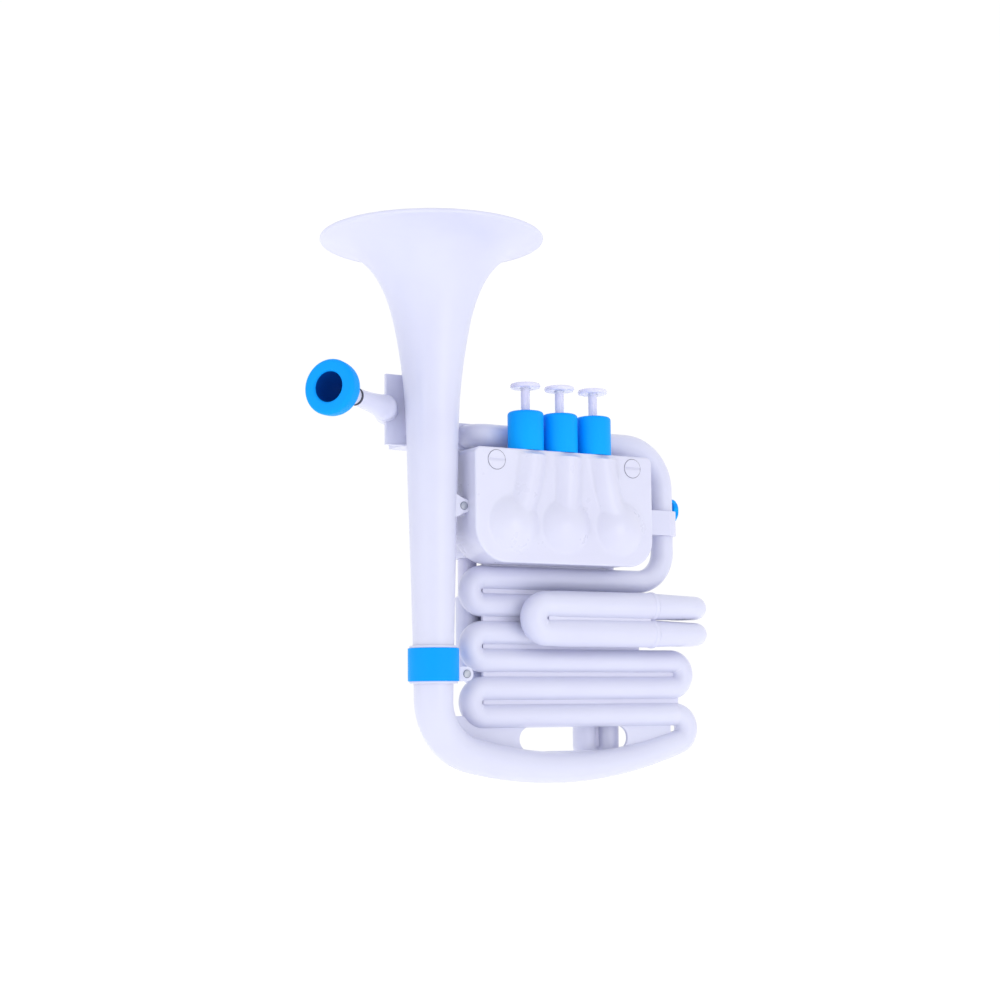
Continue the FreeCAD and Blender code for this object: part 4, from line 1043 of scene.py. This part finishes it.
# ---- collar and band
def make_bell_joint():
    """White collar on the bell's foot, and the blue band sunk into it."""
    centre = (bell_x, bell_y, (collar_high.z + collar_low.z) / 2)
    half = (collar_high.z - collar_low.z) / 2
    r = (collar_high.x - collar_low.x) / 2
    bore = 15.0 * MM
    seat_r = r - 0.6 * MM
    band_half = (band_high.z - band_low.z) / 2
    band_r = (band_high.x - band_low.x) / 2
    outline = [(-half, bore), (-half, r), (-band_half, r), (-band_half, seat_r), (band_half, seat_r),
               (band_half, r), (half, r), (half, bore)]
    collar = lathe("bell_joint_collar_form", softened(outline, 0.5 * MM), centre, (0, 0, 1),
                   "body", white)
    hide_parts("bell_joint_collar")
    outline = [(-band_half, seat_r), (-band_half, band_r), (band_half, band_r), (band_half, seat_r)]
    band = lathe("bell_clamp_band_form", softened(outline, 0.6 * MM), centre, (0, 0, 1),
                 "body", azure)
    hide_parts("bell_clamp_band")


# ---- CAD nodes that stay
def dress_cad_nodes():
    """Materials and small bevels for the CAD pieces that stay visible."""
    looks = {"valve_casing": case_white, "lyre_thumb_screw": azure, "tuning_slide_legs": leg_white}
    looks.update((node, white) for node in (
        "riser_clip", "leadpipe_holder_plate", "leadpipe_manifold", "valve_feed_tubes", "bell_saddle",
        "bell_brace", "foot_lug", "rear_slide_block"))
    looks.update((node, case_white) for node in ("cover_screw_left", "cover_screw_right"))
    looks.update((node, pin_metal) for node in ("foot_lug_pin", "bell_brace_pin"))
    looks.update((node, rubber) for node in ("rotor_seals", "tuning_slide_seals", "leadpipe_seal_ring"))
    for number in "123":
        looks["valve_fork_" + number] = milky
        looks["valve_rotor_" + number] = acetal
        looks["valve_crank_" + number] = acetal
        looks["valve_slide_legs_" + number] = leg_white
    bevelled = {"riser_clip": 0.8, "leadpipe_manifold": 1.2, "bell_brace": 0.5, "foot_lug": 0.6,
                "rear_slide_block": 0.4, "lyre_thumb_screw": 0.3, "leadpipe_holder_plate": 0.3}
    for node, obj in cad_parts.items():
        if obj.hide_render:
            continue
        # Pieces not listed get the darker copy of the white plastic, painted shade for inner parts
        material = looks.get(node, shaded_inner_white)
        if not obj.data.materials:
            obj.data.materials.append(material)
        for k in range(len(obj.material_slots)):
            obj.material_slots[k].link = "OBJECT"
            obj.material_slots[k].material = material
        if node in bevelled:
            weld = obj.modifiers.new("weld", "WELD")
            weld.merge_threshold = 0.01 * MM
            bevel = obj.modifiers.new("bevel", "BEVEL")
            bevel.width = bevelled[node] * MM
            bevel.segments = 3
            bevel.limit_method = "ANGLE"
            bevel.angle_limit = radians(40)


# ---- stage
def make_world():
    """Plain white all round, a little weaker on the bell's side."""
    world = bpy.data.worlds.new("soft_white")
    bpy.context.scene.world = world
    world.use_nodes = True
    nodes, links = world.node_tree.nodes, world.node_tree.links
    background = nodes["Background"]
    background.inputs["Color"].default_value = (1.0, 1.0, 1.0, 1)
    place = nodes.new("ShaderNodeTexCoord")
    split = nodes.new("ShaderNodeSeparateXYZ")
    links.new(place.outputs["Generated"], split.inputs["Vector"])
    fade = nodes.new("ShaderNodeMapRange")
    links.new(split.outputs["X"], fade.inputs["Value"])
    set_inputs(fade, From_Min=-0.7, From_Max=0.15, To_Min=0.93, To_Max=1.02)
    links.new(fade.outputs["Result"], background.inputs["Strength"])


def make_stage():
    """Pale floor and three soft lights."""
    make_world()
    size, z = 6.0, -0.24
    corners = [(-size, -size, z), (size, -size, z), (size, size, z), (-size, size, z)]
    mesh = bpy.data.meshes.new("floor")
    mesh.from_pydata(corners, [], [(0, 1, 2, 3)])
    floor = bpy.data.objects.new("floor", mesh)
    bpy.context.scene.collection.objects.link(floor)
    material, _, _, shader = new_material("pale_floor")
    set_inputs(shader, Base_Color=(0.9, 0.9, 0.92, 1), Roughness=0.9,
               Emission_Color=(1, 1, 1, 1), Emission_Strength=0.35)
    floor.data.materials.append(material)
    add_light("key", (0.35, -1.9, 0.10), 4.5, 1.0)
    add_light("fill", (-1.7, -0.5, 0.3), 3.0, 1.4)
    add_light("back", (0.3, 1.5, 1.2), 1.5, 1.4)


def add_light(name, place, power, size):
    """Square soft light that faces the middle of the horn."""
    aim = Vector((0, 0, 0.16))
    data = bpy.data.lights.new(name, "AREA")
    data.energy = power
    data.size = size
    data.color = (1.0, 0.99, 1.0)
    light = bpy.data.objects.new(name, data)
    light.location = place
    light.rotation_mode = "QUATERNION"
    light.rotation_quaternion = (aim - Vector(place)).to_track_quat("-Z", "Y")
    bpy.context.scene.collection.objects.link(light)


def make_camera():
    """Left of the front and a little below the middle, pitched up."""
    turn, pitch, roll = radians(29.6), radians(6.6), radians(-0.52)
    place = Vector((-0.7516, -1.2089, 0.0250))
    ahead = Vector((sin(turn) * cos(pitch), cos(turn) * cos(pitch), sin(pitch)))
    level = Vector((cos(turn), -sin(turn), 0))
    over = level.cross(ahead)
    right = level * cos(roll) + over * sin(roll)
    up = over * cos(roll) - level * sin(roll)
    data = bpy.data.cameras.new("camera")
    data.lens = 64.44
    data.sensor_width = 36.0
    data.clip_start = 0.01
    data.dof.use_dof = False
    camera = bpy.data.objects.new("camera", data)
    camera.matrix_world = Matrix((
        (right.x, up.x, -ahead.x, place.x), (right.y, up.y, -ahead.y, place.y),
        (right.z, up.z, -ahead.z, place.z), (0, 0, 0, 1)))
    bpy.context.scene.collection.objects.link(camera)
    bpy.context.scene.camera = camera


# ---- build
make_camera()
make_stage()
bpy.context.scene.view_settings.view_transform = "Standard"
make_bell()
make_bow()
make_body_shells()
make_top_tube()
make_tuning_slide()
make_return_bends()
make_valve_slides()
make_cover()
make_screw_rings()
make_valve_tops()
make_leadpipe()
make_mouthpiece()
make_bell_joint()
dress_cad_nodes()
